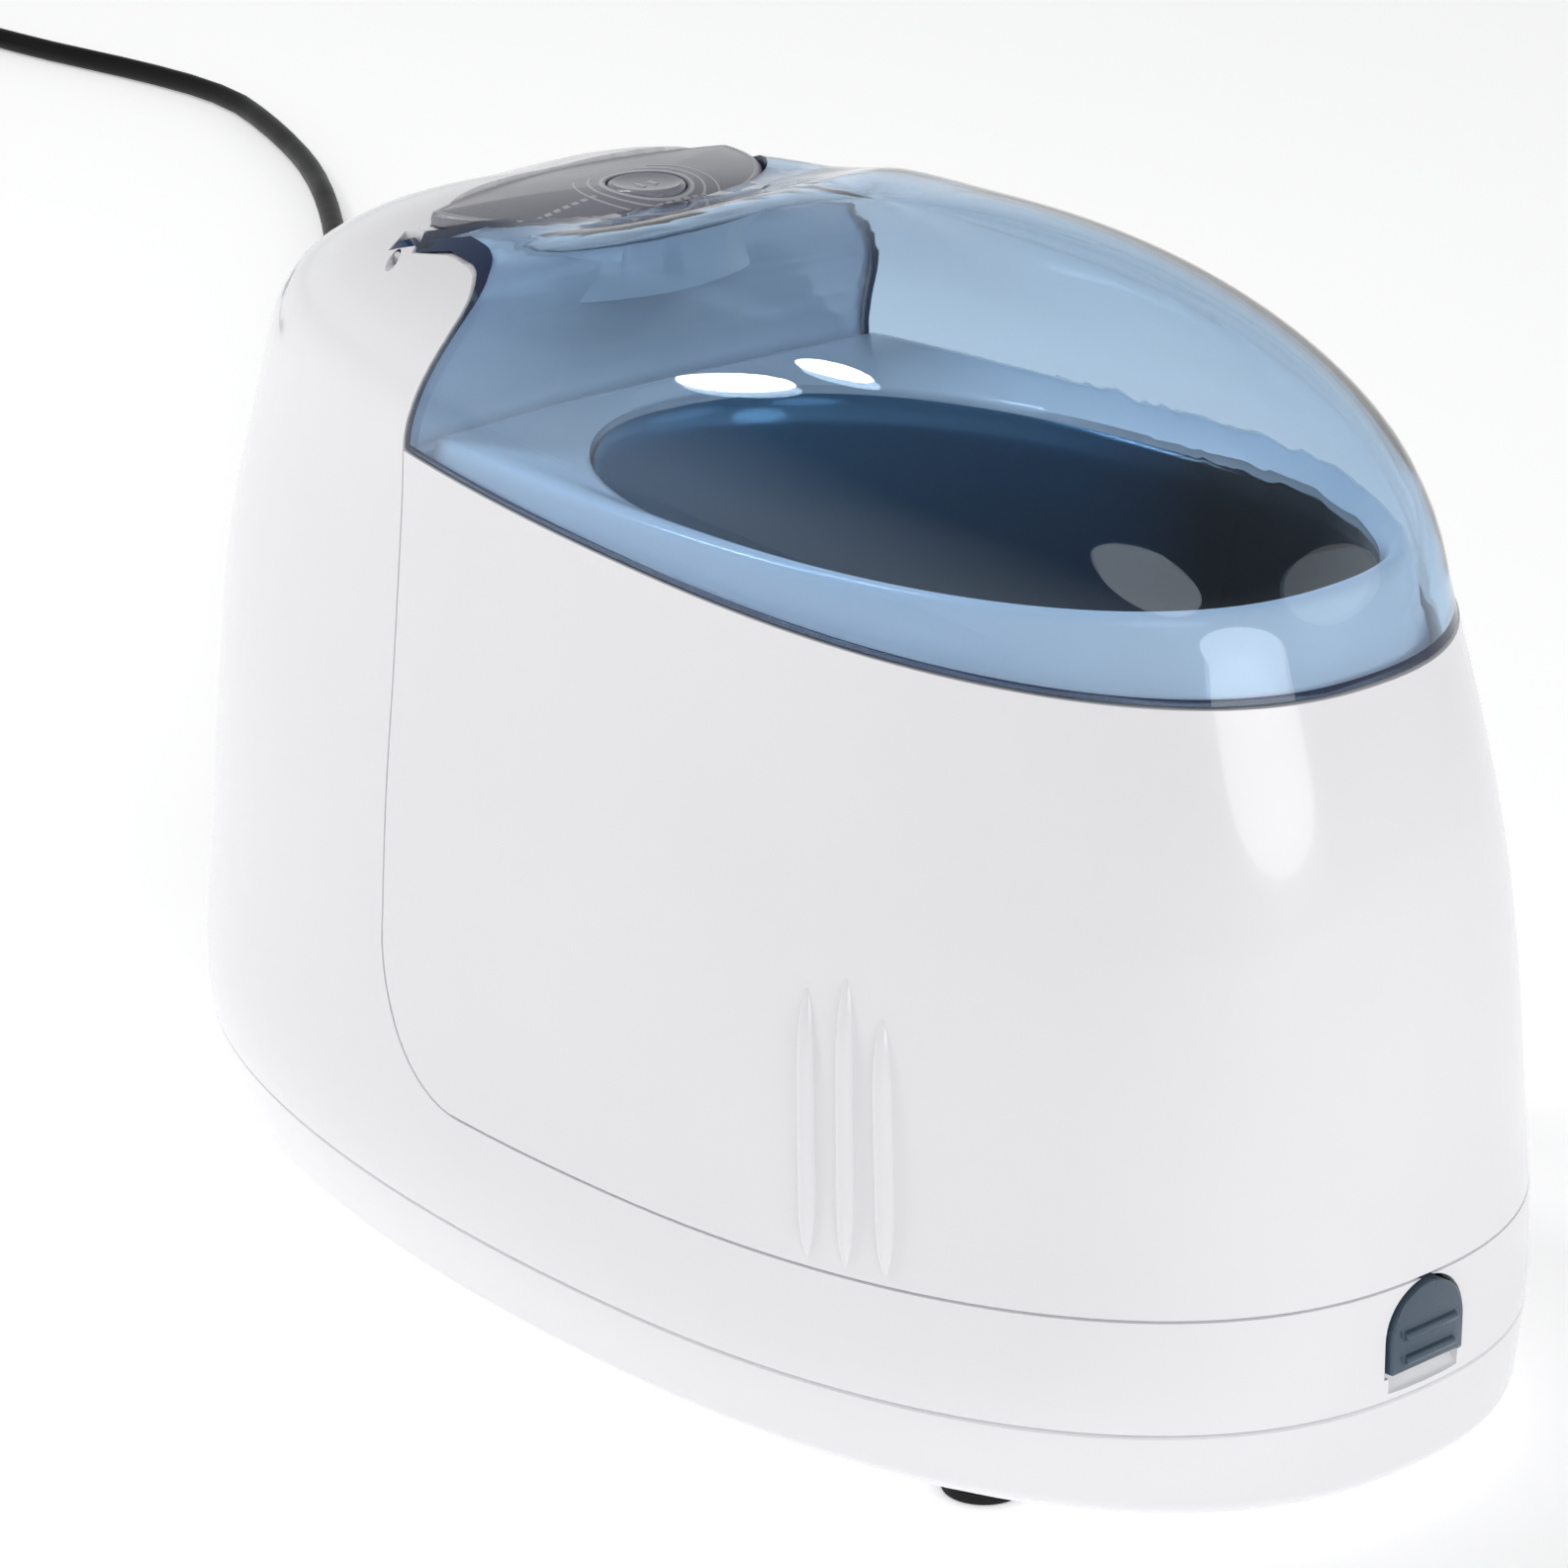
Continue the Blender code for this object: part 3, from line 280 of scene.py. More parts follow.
def circuit(name):
    """Green board with a faint copper pattern under its varnish."""
    m = Nodes(name)
    tracks = m.new("ShaderNodeTexBrick")
    tracks.inputs["Scale"].default_value = 220.0
    tracks.inputs["Color1"].default_value = (0.010, 0.110, 0.045, 1.0)
    tracks.inputs["Color2"].default_value = (0.014, 0.150, 0.060, 1.0)
    tracks.inputs["Mortar"].default_value = (0.006, 0.070, 0.030, 1.0)
    m.link(m.place, tracks.inputs["Vector"])
    m.feed("Base Color", tracks.outputs["Color"])
    m.feed("Roughness", m.ramp(m.noise(300.0), 0.3, 0.7, 0.28, 0.42))
    m.set(Coat_Weight=0.4)
    return m.mat


WHITE = moulded("white_gloss", (0.860, 0.855, 0.876), (0.842, 0.837, 0.858), 0.16, 0.24, 900.0, 0.10, 0.5)
PANEL = moulded("panel_grey", (0.262, 0.262, 0.300), (0.238, 0.238, 0.276), 0.24, 0.34, 1400.0, 0.30, 0.15)
BUTTON = moulded("button_grey", (0.300, 0.302, 0.345), (0.276, 0.278, 0.318), 0.20, 0.30, 1400.0, 0.22, 0.2)
LATCH = moulded("latch_slate", (0.052, 0.088, 0.130), (0.040, 0.070, 0.106), 0.22, 0.32, 1100.0, 0.25, 0.25)
MARK_LIGHT = moulded("mark_light", (0.560, 0.565, 0.600), (0.500, 0.505, 0.545), 0.30, 0.40, 900.0, 0.10)
BORDER = moulded("panel_border", (0.400, 0.400, 0.440), (0.370, 0.370, 0.410), 0.24, 0.34, 1400.0, 0.20)
# Painted shade: opaque navy for the lid's cut edges, standing in for the dark refraction and shadow gap along
# the clear lid's rim.
LID_EDGE_PAINTED_SHADE = moulded("lid_edge_painted_shade", (0.004, 0.036, 0.105), (0.003, 0.026, 0.080), 0.12, 0.22, 900.0, 0.10)
RUBBER = moulded("black_rubber", (0.020, 0.020, 0.021), (0.012, 0.012, 0.013), 0.55, 0.75, 1600.0, 0.60,
                 gloss=0.12)
CORD = moulded("black_pvc", (0.011, 0.011, 0.012), (0.006, 0.006, 0.007), 0.34, 0.48, 1200.0, 0.35,
               gloss=0.10)
CORE = moulded("dark_core", (0.060, 0.055, 0.050), (0.035, 0.032, 0.030), 0.55, 0.75, 700.0, 0.80)
CERAMIC = moulded("piezo_ceramic", (0.620, 0.560, 0.420), (0.520, 0.460, 0.340), 0.45, 0.60, 900.0, 0.50)
STEEL = steel_painted_reflection_shade("basin_steel")
ZINC = metal("zinc_steel", (0.620, 0.620, 0.640), (0.480, 0.480, 0.500), 0.25, 0.40, (1.0, 1.0, 6.0))
ALUMINIUM = metal("bare_aluminium", (0.740, 0.745, 0.760), (0.600, 0.605, 0.620), 0.28, 0.42,
                  (12.0, 1.0, 1.0))
BRASS = metal("plug_brass", (0.760, 0.640, 0.360), (0.640, 0.520, 0.270), 0.18, 0.30, (1.0, 12.0, 1.0))
BOARD = circuit("circuit_board")
LID = clear_blue("blue_lid")


# ---- mesh helpers
def to_object(name, bm, mat):
    mesh = bpy.data.meshes.new(name)
    bmesh.ops.recalc_face_normals(bm, faces=bm.faces)
    bm.to_mesh(mesh)
    bm.free()
    if mat:
        mesh.materials.append(mat)
    obj = bpy.data.objects.new(name, mesh)
    bpy.context.scene.collection.objects.link(obj)
    return obj


def stacked(name, rings, mat=None, closed=False):
    """Closed body through equal rings; closed joins the last ring to the first."""
    bm = bmesh.new()
    rows = [[bm.verts.new(p) for p in row] for row in rings]
    pairs = list(zip(rows, rows[1:]))
    if closed:
        pairs.append((rows[-1], rows[0]))
    for lower, upper in pairs:
        count = len(lower)
        for k in range(count):
            n = (k + 1) % count
            bm.faces.new((lower[k], lower[n], upper[n], upper[k]))
    if not closed:
        bm.faces.new(rows[0])
        bm.faces.new(rows[-1])
    return to_object(name, bm, mat)


def prism(name, outline, axis, low, high, mat=None):
    """Outline swept along an axis. Axis X takes (y, z) points, Y takes (x, z), Z takes (x, y)."""
    places = {"X": lambda u, v, w: (w, u, v), "Y": lambda u, v, w: (u, w, v), "Z": lambda u, v, w: (u, v, w)}
    place = places[axis]
    return stacked(name, [[place(u, v, w) for u, v in outline] for w in (low, high)], mat)


def box(name, low, high, mat=None):
    corners = [(low[0], low[1]), (high[0], low[1]), (high[0], high[1]), (low[0], high[1])]
    return prism(name, corners, "Z", low[2], high[2], mat)


def turned(name, profile, centre, axis, mat=None, steps=48, closed=False):
    """Round piece from (radius, reach) points along axis from centre."""
    turn = Vector((0, 0, 1)).rotation_difference(Vector(axis))
    rings = []
    for radius, reach in profile:
        row = []
        for k in range(steps):
            a = tau * k / steps
            row.append(Vector(centre) + turn @ Vector((radius * cos(a), radius * sin(a), reach)))
        rings.append(row)
    return stacked(name, rings, mat, closed)


def rod(name, start, end, radius, mat=None, steps=32):
    axis = Vector(end) - Vector(start)
    return turned(name, ((radius, 0.0), (radius, axis.length)), start, axis.normalized(), mat, steps)


def applied(obj):
    """Bakes the object's modifiers into its mesh."""
    bpy.context.view_layer.update()
    graph = bpy.context.evaluated_depsgraph_get()
    mesh = bpy.data.meshes.new_from_object(obj.evaluated_get(graph), depsgraph=graph)
    old = obj.data
    obj.modifiers.clear()
    obj.data = mesh
    mesh.name = obj.name
    bpy.data.meshes.remove(old)
    return obj


def boolean(obj, other, operation):
    mod = obj.modifiers.new("shape", "BOOLEAN")
    mod.operation = operation
    mod.solver = "EXACT"
    mod.object = other
    applied(obj)
    bpy.data.objects.remove(other)


def rounded(obj, width, segments=2, angle=32):
    """Small radius on every sharp edge."""
    mod = obj.modifiers.new("edge", "BEVEL")
    mod.width = width
    mod.segments = segments
    mod.limit_method = "ANGLE"
    mod.angle_limit = angle * pi / 180
    mod.use_clamp_overlap = True
    return applied(obj)


def shaded(obj, guides=(), angle=38):
    """Smooth shading; faces that lie on a guide surface take the guide's own normals."""
    mesh = obj.data
    mesh.polygons.foreach_set("use_smooth", [True] * len(mesh.polygons))
    mesh.set_sharp_from_angle(angle=angle * pi / 180)
    if not guides:
        return obj
    normals = [Vector(n.vector) for n in mesh.corner_normals]
    found = {}
    for face in mesh.polygons:
        for loop in face.loop_indices:
            v = mesh.loops[loop].vertex_index
            if v not in found:
                found[v] = [guide_normal(guide, mesh.vertices[v].co) for guide in guides]
            for normal in found[v]:
                if normal is not None and abs(normal.dot(face.normal)) > 0.93:
                    normals[loop] = normal if normal.dot(face.normal) > 0 else -normal
                    break
    mesh.normals_split_custom_set(normals)
    return obj


class Guide:
    """A fine copy of a surface, asked for its normal near a point."""

    def __init__(self, obj):
        mesh = obj.data
        self.points = [v.co.copy() for v in mesh.vertices]
        self.normals = [Vector(n.vector) for n in mesh.vertex_normals]
        self.faces = [tuple(p.vertices) for p in mesh.polygons]
        self.tree = BVHTree.FromPolygons(self.points, self.faces)
        bpy.data.objects.remove(obj)


def guide_normal(guide, place):
    near, _, index, distance = guide.tree.find_nearest(place, 0.0004)
    if near is None or distance > 0.00012:
        return None
    total = Vector()
    for v in guide.faces[index]:
        total += guide.normals[v] / ((guide.points[v] - near).length_squared + 1e-9)
    return total.normalized()


# ---- the outer form
def along(z, values):
    """Value at height z on a smooth curve through the side stations."""
    z = min(max(z, SIDE_Z[0]), SIDE_Z[-1])
    k = max(i for i in range(len(SIDE_Z) - 1) if z >= SIDE_Z[i])
    span = SIDE_Z[k + 1] - SIDE_Z[k]
    t = (z - SIDE_Z[k]) / span

    def slope(i):
        low = max(i - 1, 0)
        high = min(i + 1, len(SIDE_Z) - 1)
        return (values[high] - values[low]) / (SIDE_Z[high] - SIDE_Z[low]) * span
    a = values[k]
    b = values[k + 1]
    m0 = slope(k)
    m1 = slope(k + 1)
    return (2 * t ** 3 - 3 * t ** 2 + 1) * a + (t ** 3 - 2 * t ** 2 + t) * m0 \
        + (3 * t ** 2 - 2 * t ** 3) * b + (t ** 3 - t ** 2) * m1


def plan_point(angle, half_width, front, rear):
    c = cos(angle)
    s = sin(angle)
    power = PLAN_POWER_FRONT if s < 0 else PLAN_POWER_REAR
    x = half_width * (abs(c) ** (2 / power)) * (1 if c > 0 else -1)
    reach = (front + CENTRE_Y) if s < 0 else (rear - CENTRE_Y)
    y = CENTRE_Y + reach * (abs(s) ** (2 / power)) * (1 if s > 0 else -1)
    return x, y


def dome_power(angle):
    c2 = cos(angle) ** 2
    s2 = sin(angle) ** 2
    if sin(angle) < 0:
        return DOME_POWER_SIDE * c2 + DOME_POWER_FRONT * s2
    return DOME_POWER_SIDE * c2 + DOME_POWER_REAR * s2 + SHOULDER_POWER * 4 * c2 * s2


def raw_skin(angle, z, inset):
    side_z = min(z, DOME_Z)
    x, y = plan_point(angle, along(side_z, SIDE_HALF_WIDTH) - inset,
                      along(side_z, SIDE_FRONT) - inset, along(side_z, SIDE_REAR) - inset)
    if z > DOME_Z:
        rise = min((z - DOME_Z) / (APEX_Z - inset - DOME_Z), 1.0)
        power = dome_power(angle)
        shrink = max(1.0 - rise ** power, 0.0) ** (1.0 / power)
        x *= shrink
        y = APEX_Y + (y - APEX_Y) * shrink
    return x, y


def skin(angle, z, inset=0.0):
    """Point (x, y) of the outer form at height z; the shoulder below the dome is eased."""
    ease = 0.0070 * min(max((0.1330 - z) / 0.0080, 0.0), 1.0) * min(max((z - 0.0980) / 0.0080, 0.0), 1.0)
    if ease < 1e-6:
        return raw_skin(angle, z, inset)
    total_x = 0.0
    total_y = 0.0
    weights = 0.0
    for k in range(-3, 4):
        weight = 4.0 - abs(k)
        x, y = raw_skin(angle, z + ease * k / 3, inset)
        total_x += x * weight
        total_y += y * weight
        weights += weight
    return total_x / weights, total_y / weights


def plan_angles(steps):
    return [tau * k / steps for k in range(steps)]


def settled(y, z, inset):
    """Height z drawn down behind the dome's crown, where the dome comes level with the control panel."""
    ahead = max(PLATEAU_FRONT_Y - y, 0.0)
    level = PLATEAU_Z - inset + PLATEAU_SLOPE * ahead + PLATEAU_BOW * ahead ** 2
    over = (z - level) / PLATEAU_SOFT
    if over < -8.0:
        return z
    return level - PLATEAU_SOFT * log(1.0 + exp(-over))


def ring(z, inset=0.0, steps=STEPS):
    points = [skin(a, z, inset) for a in plan_angles(steps)]
    return [(x, y, settled(y, z, inset)) for x, y in points]


def form_heights(low, inset, fine=1):
    heights = [low]
    z = SIDE_Z[0]
    while z < DOME_Z - 0.002:
        z += 0.0055 / fine
        if z > low + 0.001:
            heights.append(min(z, DOME_Z))
    height = APEX_Z - inset - DOME_Z
    count = 22 * fine
    heights += [DOME_Z + height * sin((k + 0.5) / count * pi / 2) for k in range(count)]
    heights += [DOME_Z + height * s for s in (0.99990, 0.99999)]
    return sorted(heights)


def form(name, low, inset, mat=None, fine=1, steps=STEPS):
    return stacked(name, [ring(z, inset, steps) for z in form_heights(low, inset, fine)], mat)


OUTSIDE = Guide(form("guide_outside", 0.0030, 0.0, None, 2, 288))
LID_OUTSIDE = Guide(form("guide_lid_outside", 0.0900, 0.0002, None, 2, 288))
LID_INSIDE = Guide(form("guide_lid_inside", 0.0900, 0.0026, None, 2, 288))


def rim_height(y):
    return RIM_Z + RIM_SLOPE * y


def column_line(z, offset=0.0):
    if z < CORNER_Z:
        radius = CORNER_RADIUS - offset
        drop = min(CORNER_Z - z, radius)
        return COLUMN_FOOT_Y - CORNER_RADIUS + sqrt(radius ** 2 - drop ** 2)
    slope = (COLUMN_Y - COLUMN_FOOT_Y) / (rim_height(COLUMN_Y) - CORNER_Z)
    return COLUMN_FOOT_Y - offset + slope * (z - CORNER_Z)


def arc(centre, radius, start, end, count):
    points = []
    for k in range(count + 1):
        a = (start + (end - start) * k / count) * pi / 180
        points.append((centre[0] + radius * cos(a), centre[1] + radius * sin(a)))
    return points


def spline_2d(points, per_span):
    """Points of a smooth line through the given ones."""
    line = []
    for k in range(len(points) - 1):
        p0 = Vector(points[max(k - 1, 0)])
        p1 = Vector(points[k])
        p2 = Vector(points[k + 1])
        p3 = Vector(points[min(k + 2, len(points) - 1)])
        for step in range(per_span):
            t = step / per_span
            line.append(tuple(0.5 * (2 * p1 + (p2 - p0) * t + (2 * p0 - 5 * p1 + 4 * p2 - p3) * t * t
                                     + (3 * p1 - p0 - 3 * p2 + p3) * t ** 3)))
    line.append(tuple(points[-1]))
    return line


def head_line(offset):
    """Side view of the column's head: under the brow, round it, over the top to the hinge."""
    brow = [(0.0332, 0.1205), (0.0318, 0.1250), (0.0296, 0.1298), (0.0280, 0.1335), (0.0270, 0.1375)]
    crown = [(0.0284, 0.1401), (0.0312, 0.1412), (0.0375, 0.1413)]
    line = spline_2d([(COLUMN_Y, rim_height(COLUMN_Y))] + brow + crown, 4)
    moved = []
    for k, (y, z) in enumerate(line):
        before = line[max(k - 1, 0)]
        after = line[min(k + 1, len(line) - 1)]
        length = sqrt((after[0] - before[0]) ** 2 + (after[1] - before[1]) ** 2)
        moved.append((y - offset * (after[1] - before[1]) / length,
                      z + offset * (after[0] - before[0]) / length))
    return moved + arc((HINGE_Y, HINGE_Z), HINGE_CLEAR - GAP + offset, 155, 90, 10)


def corner_points(offset, first=1):
    """The rounded inner corner between the base band and the column, seen from the side."""
    points = []
    for a in range(first, 17):
        z = BAND_Z + CORNER_RADIUS * (1 - cos(a * pi / 32))
        points.append((column_line(z) + offset, z))
    return points


# ---- camera, then the lead
def make_camera():
    data = bpy.data.cameras.new("camera")
    data.sensor_width = 36.0
    data.lens = 138.90
    data.clip_start = 0.01
    data.clip_end = 50.0
    camera = bpy.data.objects.new("camera", data)
    bpy.context.scene.collection.objects.link(camera)
    azimuth = -42.753 * pi / 180
    elevation = 20.564 * pi / 180
    target = Vector((-0.0092, -0.0046, 0.0715))
    back = Vector((sin(azimuth) * cos(elevation), -cos(azimuth) * cos(elevation), sin(elevation)))
    camera.location = target + back * 0.820
    camera.rotation_euler = (-back).to_track_quat("-Z", "Y").to_euler()
    bpy.context.scene.camera = camera


make_camera()


def cord_exit():
    """Place on the cover's skin where the lead leaves, and the way it heads."""
    before = Vector(skin(EXIT_ANGLE - 0.01, CORD_EXIT_Z))
    after = Vector(skin(EXIT_ANGLE + 0.01, CORD_EXIT_Z))
    way = (after - before).normalized()
    return Vector((*((before + after) / 2), CORD_EXIT_Z)), Vector((way.y, -way.x, 0))


def lead_start():
    point, heading = cord_exit()
    start = [point + heading * (BOOT_REACH + 0.0006), point + heading * (BOOT_REACH + 0.0100)]
    start[1].z -= 0.0008
    return start


def smooth_route(points, spacing):
    dense = []
    for k in range(len(points) - 1):
        p0 = Vector(points[max(k - 1, 0)])
        p1 = Vector(points[k])
        p2 = Vector(points[k + 1])
        p3 = Vector(points[min(k + 2, len(points) - 1)])
        for step in range(24):
            t = step / 24
            dense.append(0.5 * (2 * p1 + (p2 - p0) * t + (2 * p0 - 5 * p1 + 4 * p2 - p3) * t * t
                                + (3 * p1 - p0 - 3 * p2 + p3) * t * t * t))
    dense.append(Vector(points[-1]))
    total = sum((b - a).length for a, b in zip(dense, dense[1:]))
    count = max(int(total / spacing), 2)
    picked = [dense[0]]
    walked = 0.0
    target = total / count
    for a, b in zip(dense, dense[1:]):
        walked += (b - a).length
        if walked >= target and len(picked) < count:
            picked.append(b)
            target += total / count
    picked.append(dense[-1])
    return picked


def coil_route():
    """Two layers of three turns: inwards on the table, up, and outwards on top."""
    centre = Vector((*COIL_CENTRE, 0.0))
    start = Vector(CORD_ROUTE[-1]) - centre
    first = atan2(start.y, start.x)
    end = Vector(TAIL_ROUTE[0]) - centre
    last = atan2(end.y, end.x)
    turn = (last - first) % tau
    points = []
    total = tau * 5 + turn
    count = 150
    for k in range(1, count):
        t = k / count
        angle = first + total * t
        turns = total * t / tau
        layer = min(max((turns - 2.55) / 0.5, 0.0), 1.0)
        layer = layer * layer * (3 - 2 * layer)
        if turns < 2.8:
            radius = 0.0352 - 0.0053 * min(turns, 2.0)
        else:
            radius = 0.0246 + 0.0053 * min(turns - 2.8, 2.0)
        height = 0.0026 + 0.0051 * layer
        points.append((centre.x + radius * cos(angle), centre.y + radius * sin(angle), height))
    return points


def make_lead():
    route = [tuple(p) for p in smooth_route(lead_start() + list(CORD_ROUTE), 0.0125)]
    route += coil_route()
    route += [tuple(p) for p in smooth_route(TAIL_ROUTE, 0.0125)]
    curve = bpy.data.curves.new("lead", "CURVE")
    curve.dimensions = "3D"
    curve.bevel_depth = CORD_RADIUS
    curve.bevel_resolution = 5
    curve.use_fill_caps = True
    spline = curve.splines.new("POLY")
    spline.points.add(len(route) - 1)
    for point, place in zip(spline.points, route):
        point.co = (*place, 1)
    spline.use_smooth = True
    curve.materials.append(CORD)
    lead = bpy.data.objects.new("lead", curve)
    bpy.context.scene.collection.objects.link(lead)
    length = sum((Vector(b) - Vector(a)).length for a, b in zip(route, route[1:]))
    print("lead length", round(length, 4))
    return lead, length


lead, lead_length = make_lead()
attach(lead, "base")
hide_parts("mains_cord", "cord_coil", "cord_tail")


def place(obj, body, slot, *nodes):
    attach(obj, body)
    if nodes:
        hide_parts(*nodes)
    return obj


def make_boot():
    """Tapered strain relief, ribbed so that it bends, and its inner flange."""
    neck = BOOT_NECK_RADIUS
    profile = [(0.0050, -0.0076), (0.0050, -0.0064), (neck, -0.0062), (neck, 0.0008), (0.0048, 0.0009),
               (0.0052, 0.0012), (0.0052, 0.0022), (0.0050, 0.0026)]
    start = 0.0032
    end = BOOT_REACH - 0.0022
    fins = 6
    step = (end - start) / fins
    for k in range(fins):
        low = start + step * k
        outer = 0.0048 - 0.0014 * (k + 0.5) / fins
        inner = outer - 0.0008
        profile += [(inner, low), (inner, low + step * 0.30),
                    (outer, low + step * 0.38), (outer, low + step * 0.92)]
    profile += [(0.0032, end + 0.0004), (0.0032, BOOT_REACH - 0.0004), (0.0030, BOOT_REACH)]
    point, heading = cord_exit()
    relief = turned("boot", profile, point, heading, CORD, 48)
    rounded(relief, 0.00018)
    return shaded(relief)


boot = place(make_boot(), "base", "black_pvc", "strain_relief")


def make_plug():
    """Flat two-pin plug lying at the end of the lead, with a ribbed grip."""
    heading = Vector((*PLUG_HEADING, 0)).normalized()
    side = Vector((-heading.y, heading.x, 0))
    start = Vector((*PLUG_START, 0.0086))
    stations = [(0.0004, 0.0034, 0.0036), (0.0050, 0.0038, 0.0040), (0.0100, 0.0046, 0.0046),
                (0.0130, 0.0074, 0.0058), (0.0160, 0.0105, 0.0070), (0.0190, 0.0119, 0.0079)]
    for k in range(5):
        reach = 0.0220 + 0.0026 * k
        stations += [(reach, 0.0125, 0.0082), (reach + 0.0012, 0.0125, 0.0082),
                     (reach + 0.0015, 0.0120, 0.0077), (reach + 0.0023, 0.0120, 0.0077)]
    stations += [(0.0352, 0.0125, 0.0082), (0.0374, 0.0125, 0.0082), (0.0382, 0.0121, 0.0079),
                 (0.0385, 0.0113, 0.0073)]
    rings = []
    for reach, half_width, half_height in stations:
        row = []
        for k in range(48):
            a = tau * k / 48
            c = cos(a)
            s = sin(a)
            across = half_width * (abs(c) ** 0.7) * (1 if c > 0 else -1)
            up = half_height * (abs(s) ** 0.7) * (1 if s > 0 else -1)
            p = start + heading * reach + side * across
            row.append((p.x, p.y, 0.0002 + half_height + up))
        rings.append(row)
    plug = stacked("plug", rings, CORD)
    rounded(plug, 0.0002)
    return shaded(plug)


plug = place(make_plug(), "base", "black_pvc", "mains_plug")
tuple(lead_start()[0])


# ---- housings
def foot_centre(k):
    low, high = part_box(f"foot_{k + 1}")
    return (low.x + high.x) / 2, (low.y + high.y) / 2


FOOT_CENTRES = [foot_centre(k) for k in range(4)]


def make_bottom_cover():
    outer = [ring(BASE_Z, 0.0024), ring(BASE_Z + 0.0003, 0.0015), ring(BASE_Z + 0.0009, 0.0008),
             ring(BASE_Z + 0.0016, 0.0003), ring(BASE_Z + 0.0026)]
    outer += [ring(BASE_Z + 0.0026 + (SEAM_Z - BASE_Z - 0.0031) * t) for t in (0.34, 0.67, 1.0)]
    outer += [ring(SEAM_Z - 0.0002, 0.0003)]
    inner = [ring(SEAM_Z - 0.0002, WALL), ring(FLOOR_TOP_Z, WALL + 0.0008)]
    cover = stacked("cover_bottom", outer + inner, WHITE)
    point, heading = cord_exit()
    reach = heading * 0.010
    boolean(cover, rod("cut_exit", point - reach, point + reach, BOOT_NECK_RADIUS + 0.0006), "DIFFERENCE")
    for x, y in FOOT_CENTRES:
        profile = ((0.0056, PAD_TOP_Z + GAP), (0.0060, PAD_TOP_Z + GAP + 0.0004), (0.0072, BASE_Z - 0.0010),
                   (0.0082, BASE_Z - 0.0002), (0.0094, BASE_Z + 0.0001), (0.0096, BASE_Z + 0.0010))
        boolean(cover, turned("cut_boss", profile, (x, y, 0), (0, 0, 1)), "UNION")
        profile = ((0.0028, 0.0), (0.0028, SCREW_SEAT_Z),
                   (0.0018, SCREW_SEAT_Z), (0.0018, FLOOR_TOP_Z + 0.005))
        boolean(cover, turned("cut_bore", profile, (x, y, 0), (0, 0, 1), None, 24), "DIFFERENCE")
    rounded(cover, 0.00012)
    return shaded(cover, [OUTSIDE])


place(make_bottom_cover(), "base", "white_housing", "bottom_cover")


def make_feet():
    for k, (x, y) in enumerate(FOOT_CENTRES):
        profile = ((0.0030, 0.0004), (0.0033, 0.0), (0.0048, 0.0), (0.0054, 0.0002), (0.0056, 0.0006),
                   (0.0056, PAD_TOP_Z), (0.0030, PAD_TOP_Z))
        foot = turned(f"pad_{k + 1}", profile, (x, y, 0), (0, 0, 1), RUBBER, 40, True)
        place(shaded(foot), "base", "black_rubber", f"foot_{k + 1}")


make_feet()


def panel_outline(inset, rear_y, count=48):
    half = PANEL_HALF_WIDTH - inset
    depth = PANEL_DEPTH - inset
    points = [(half * cos(a * pi / count), PANEL_REAR_Y - depth * sin(a * pi / count))
              for a in range(count + 1)]
    if rear_y > PANEL_REAR_Y + 0.0001:
        points = [(half, rear_y)] + points + [(-half, rear_y)]
    return points


def panel_edge(grow):
    """The panel's whole outline: the front half ellipse and the bowed rear edge."""
    half = PANEL_HALF_WIDTH + grow
    bow = PANEL_BOW + grow
    rear = [-half + 2 * half * k / 48 for k in range(1, 48)]
    return (panel_outline(-grow, PANEL_REAR_Y, 64)
            + [(x, PANEL_REAR_Y + bow * (1 - (x / half) ** 2)) for x in rear])


def latch_outline(offset, count=24):
    half = LATCH_HALF_WIDTH + offset
    points = [(-half, LATCH_FOOT_Z - offset), (half, LATCH_FOOT_Z - offset)]
    points += [(half * cos(a * pi / count), LATCH_ARCH_Z + half * sin(a * pi / count))
               for a in range(count + 1)]
    return points


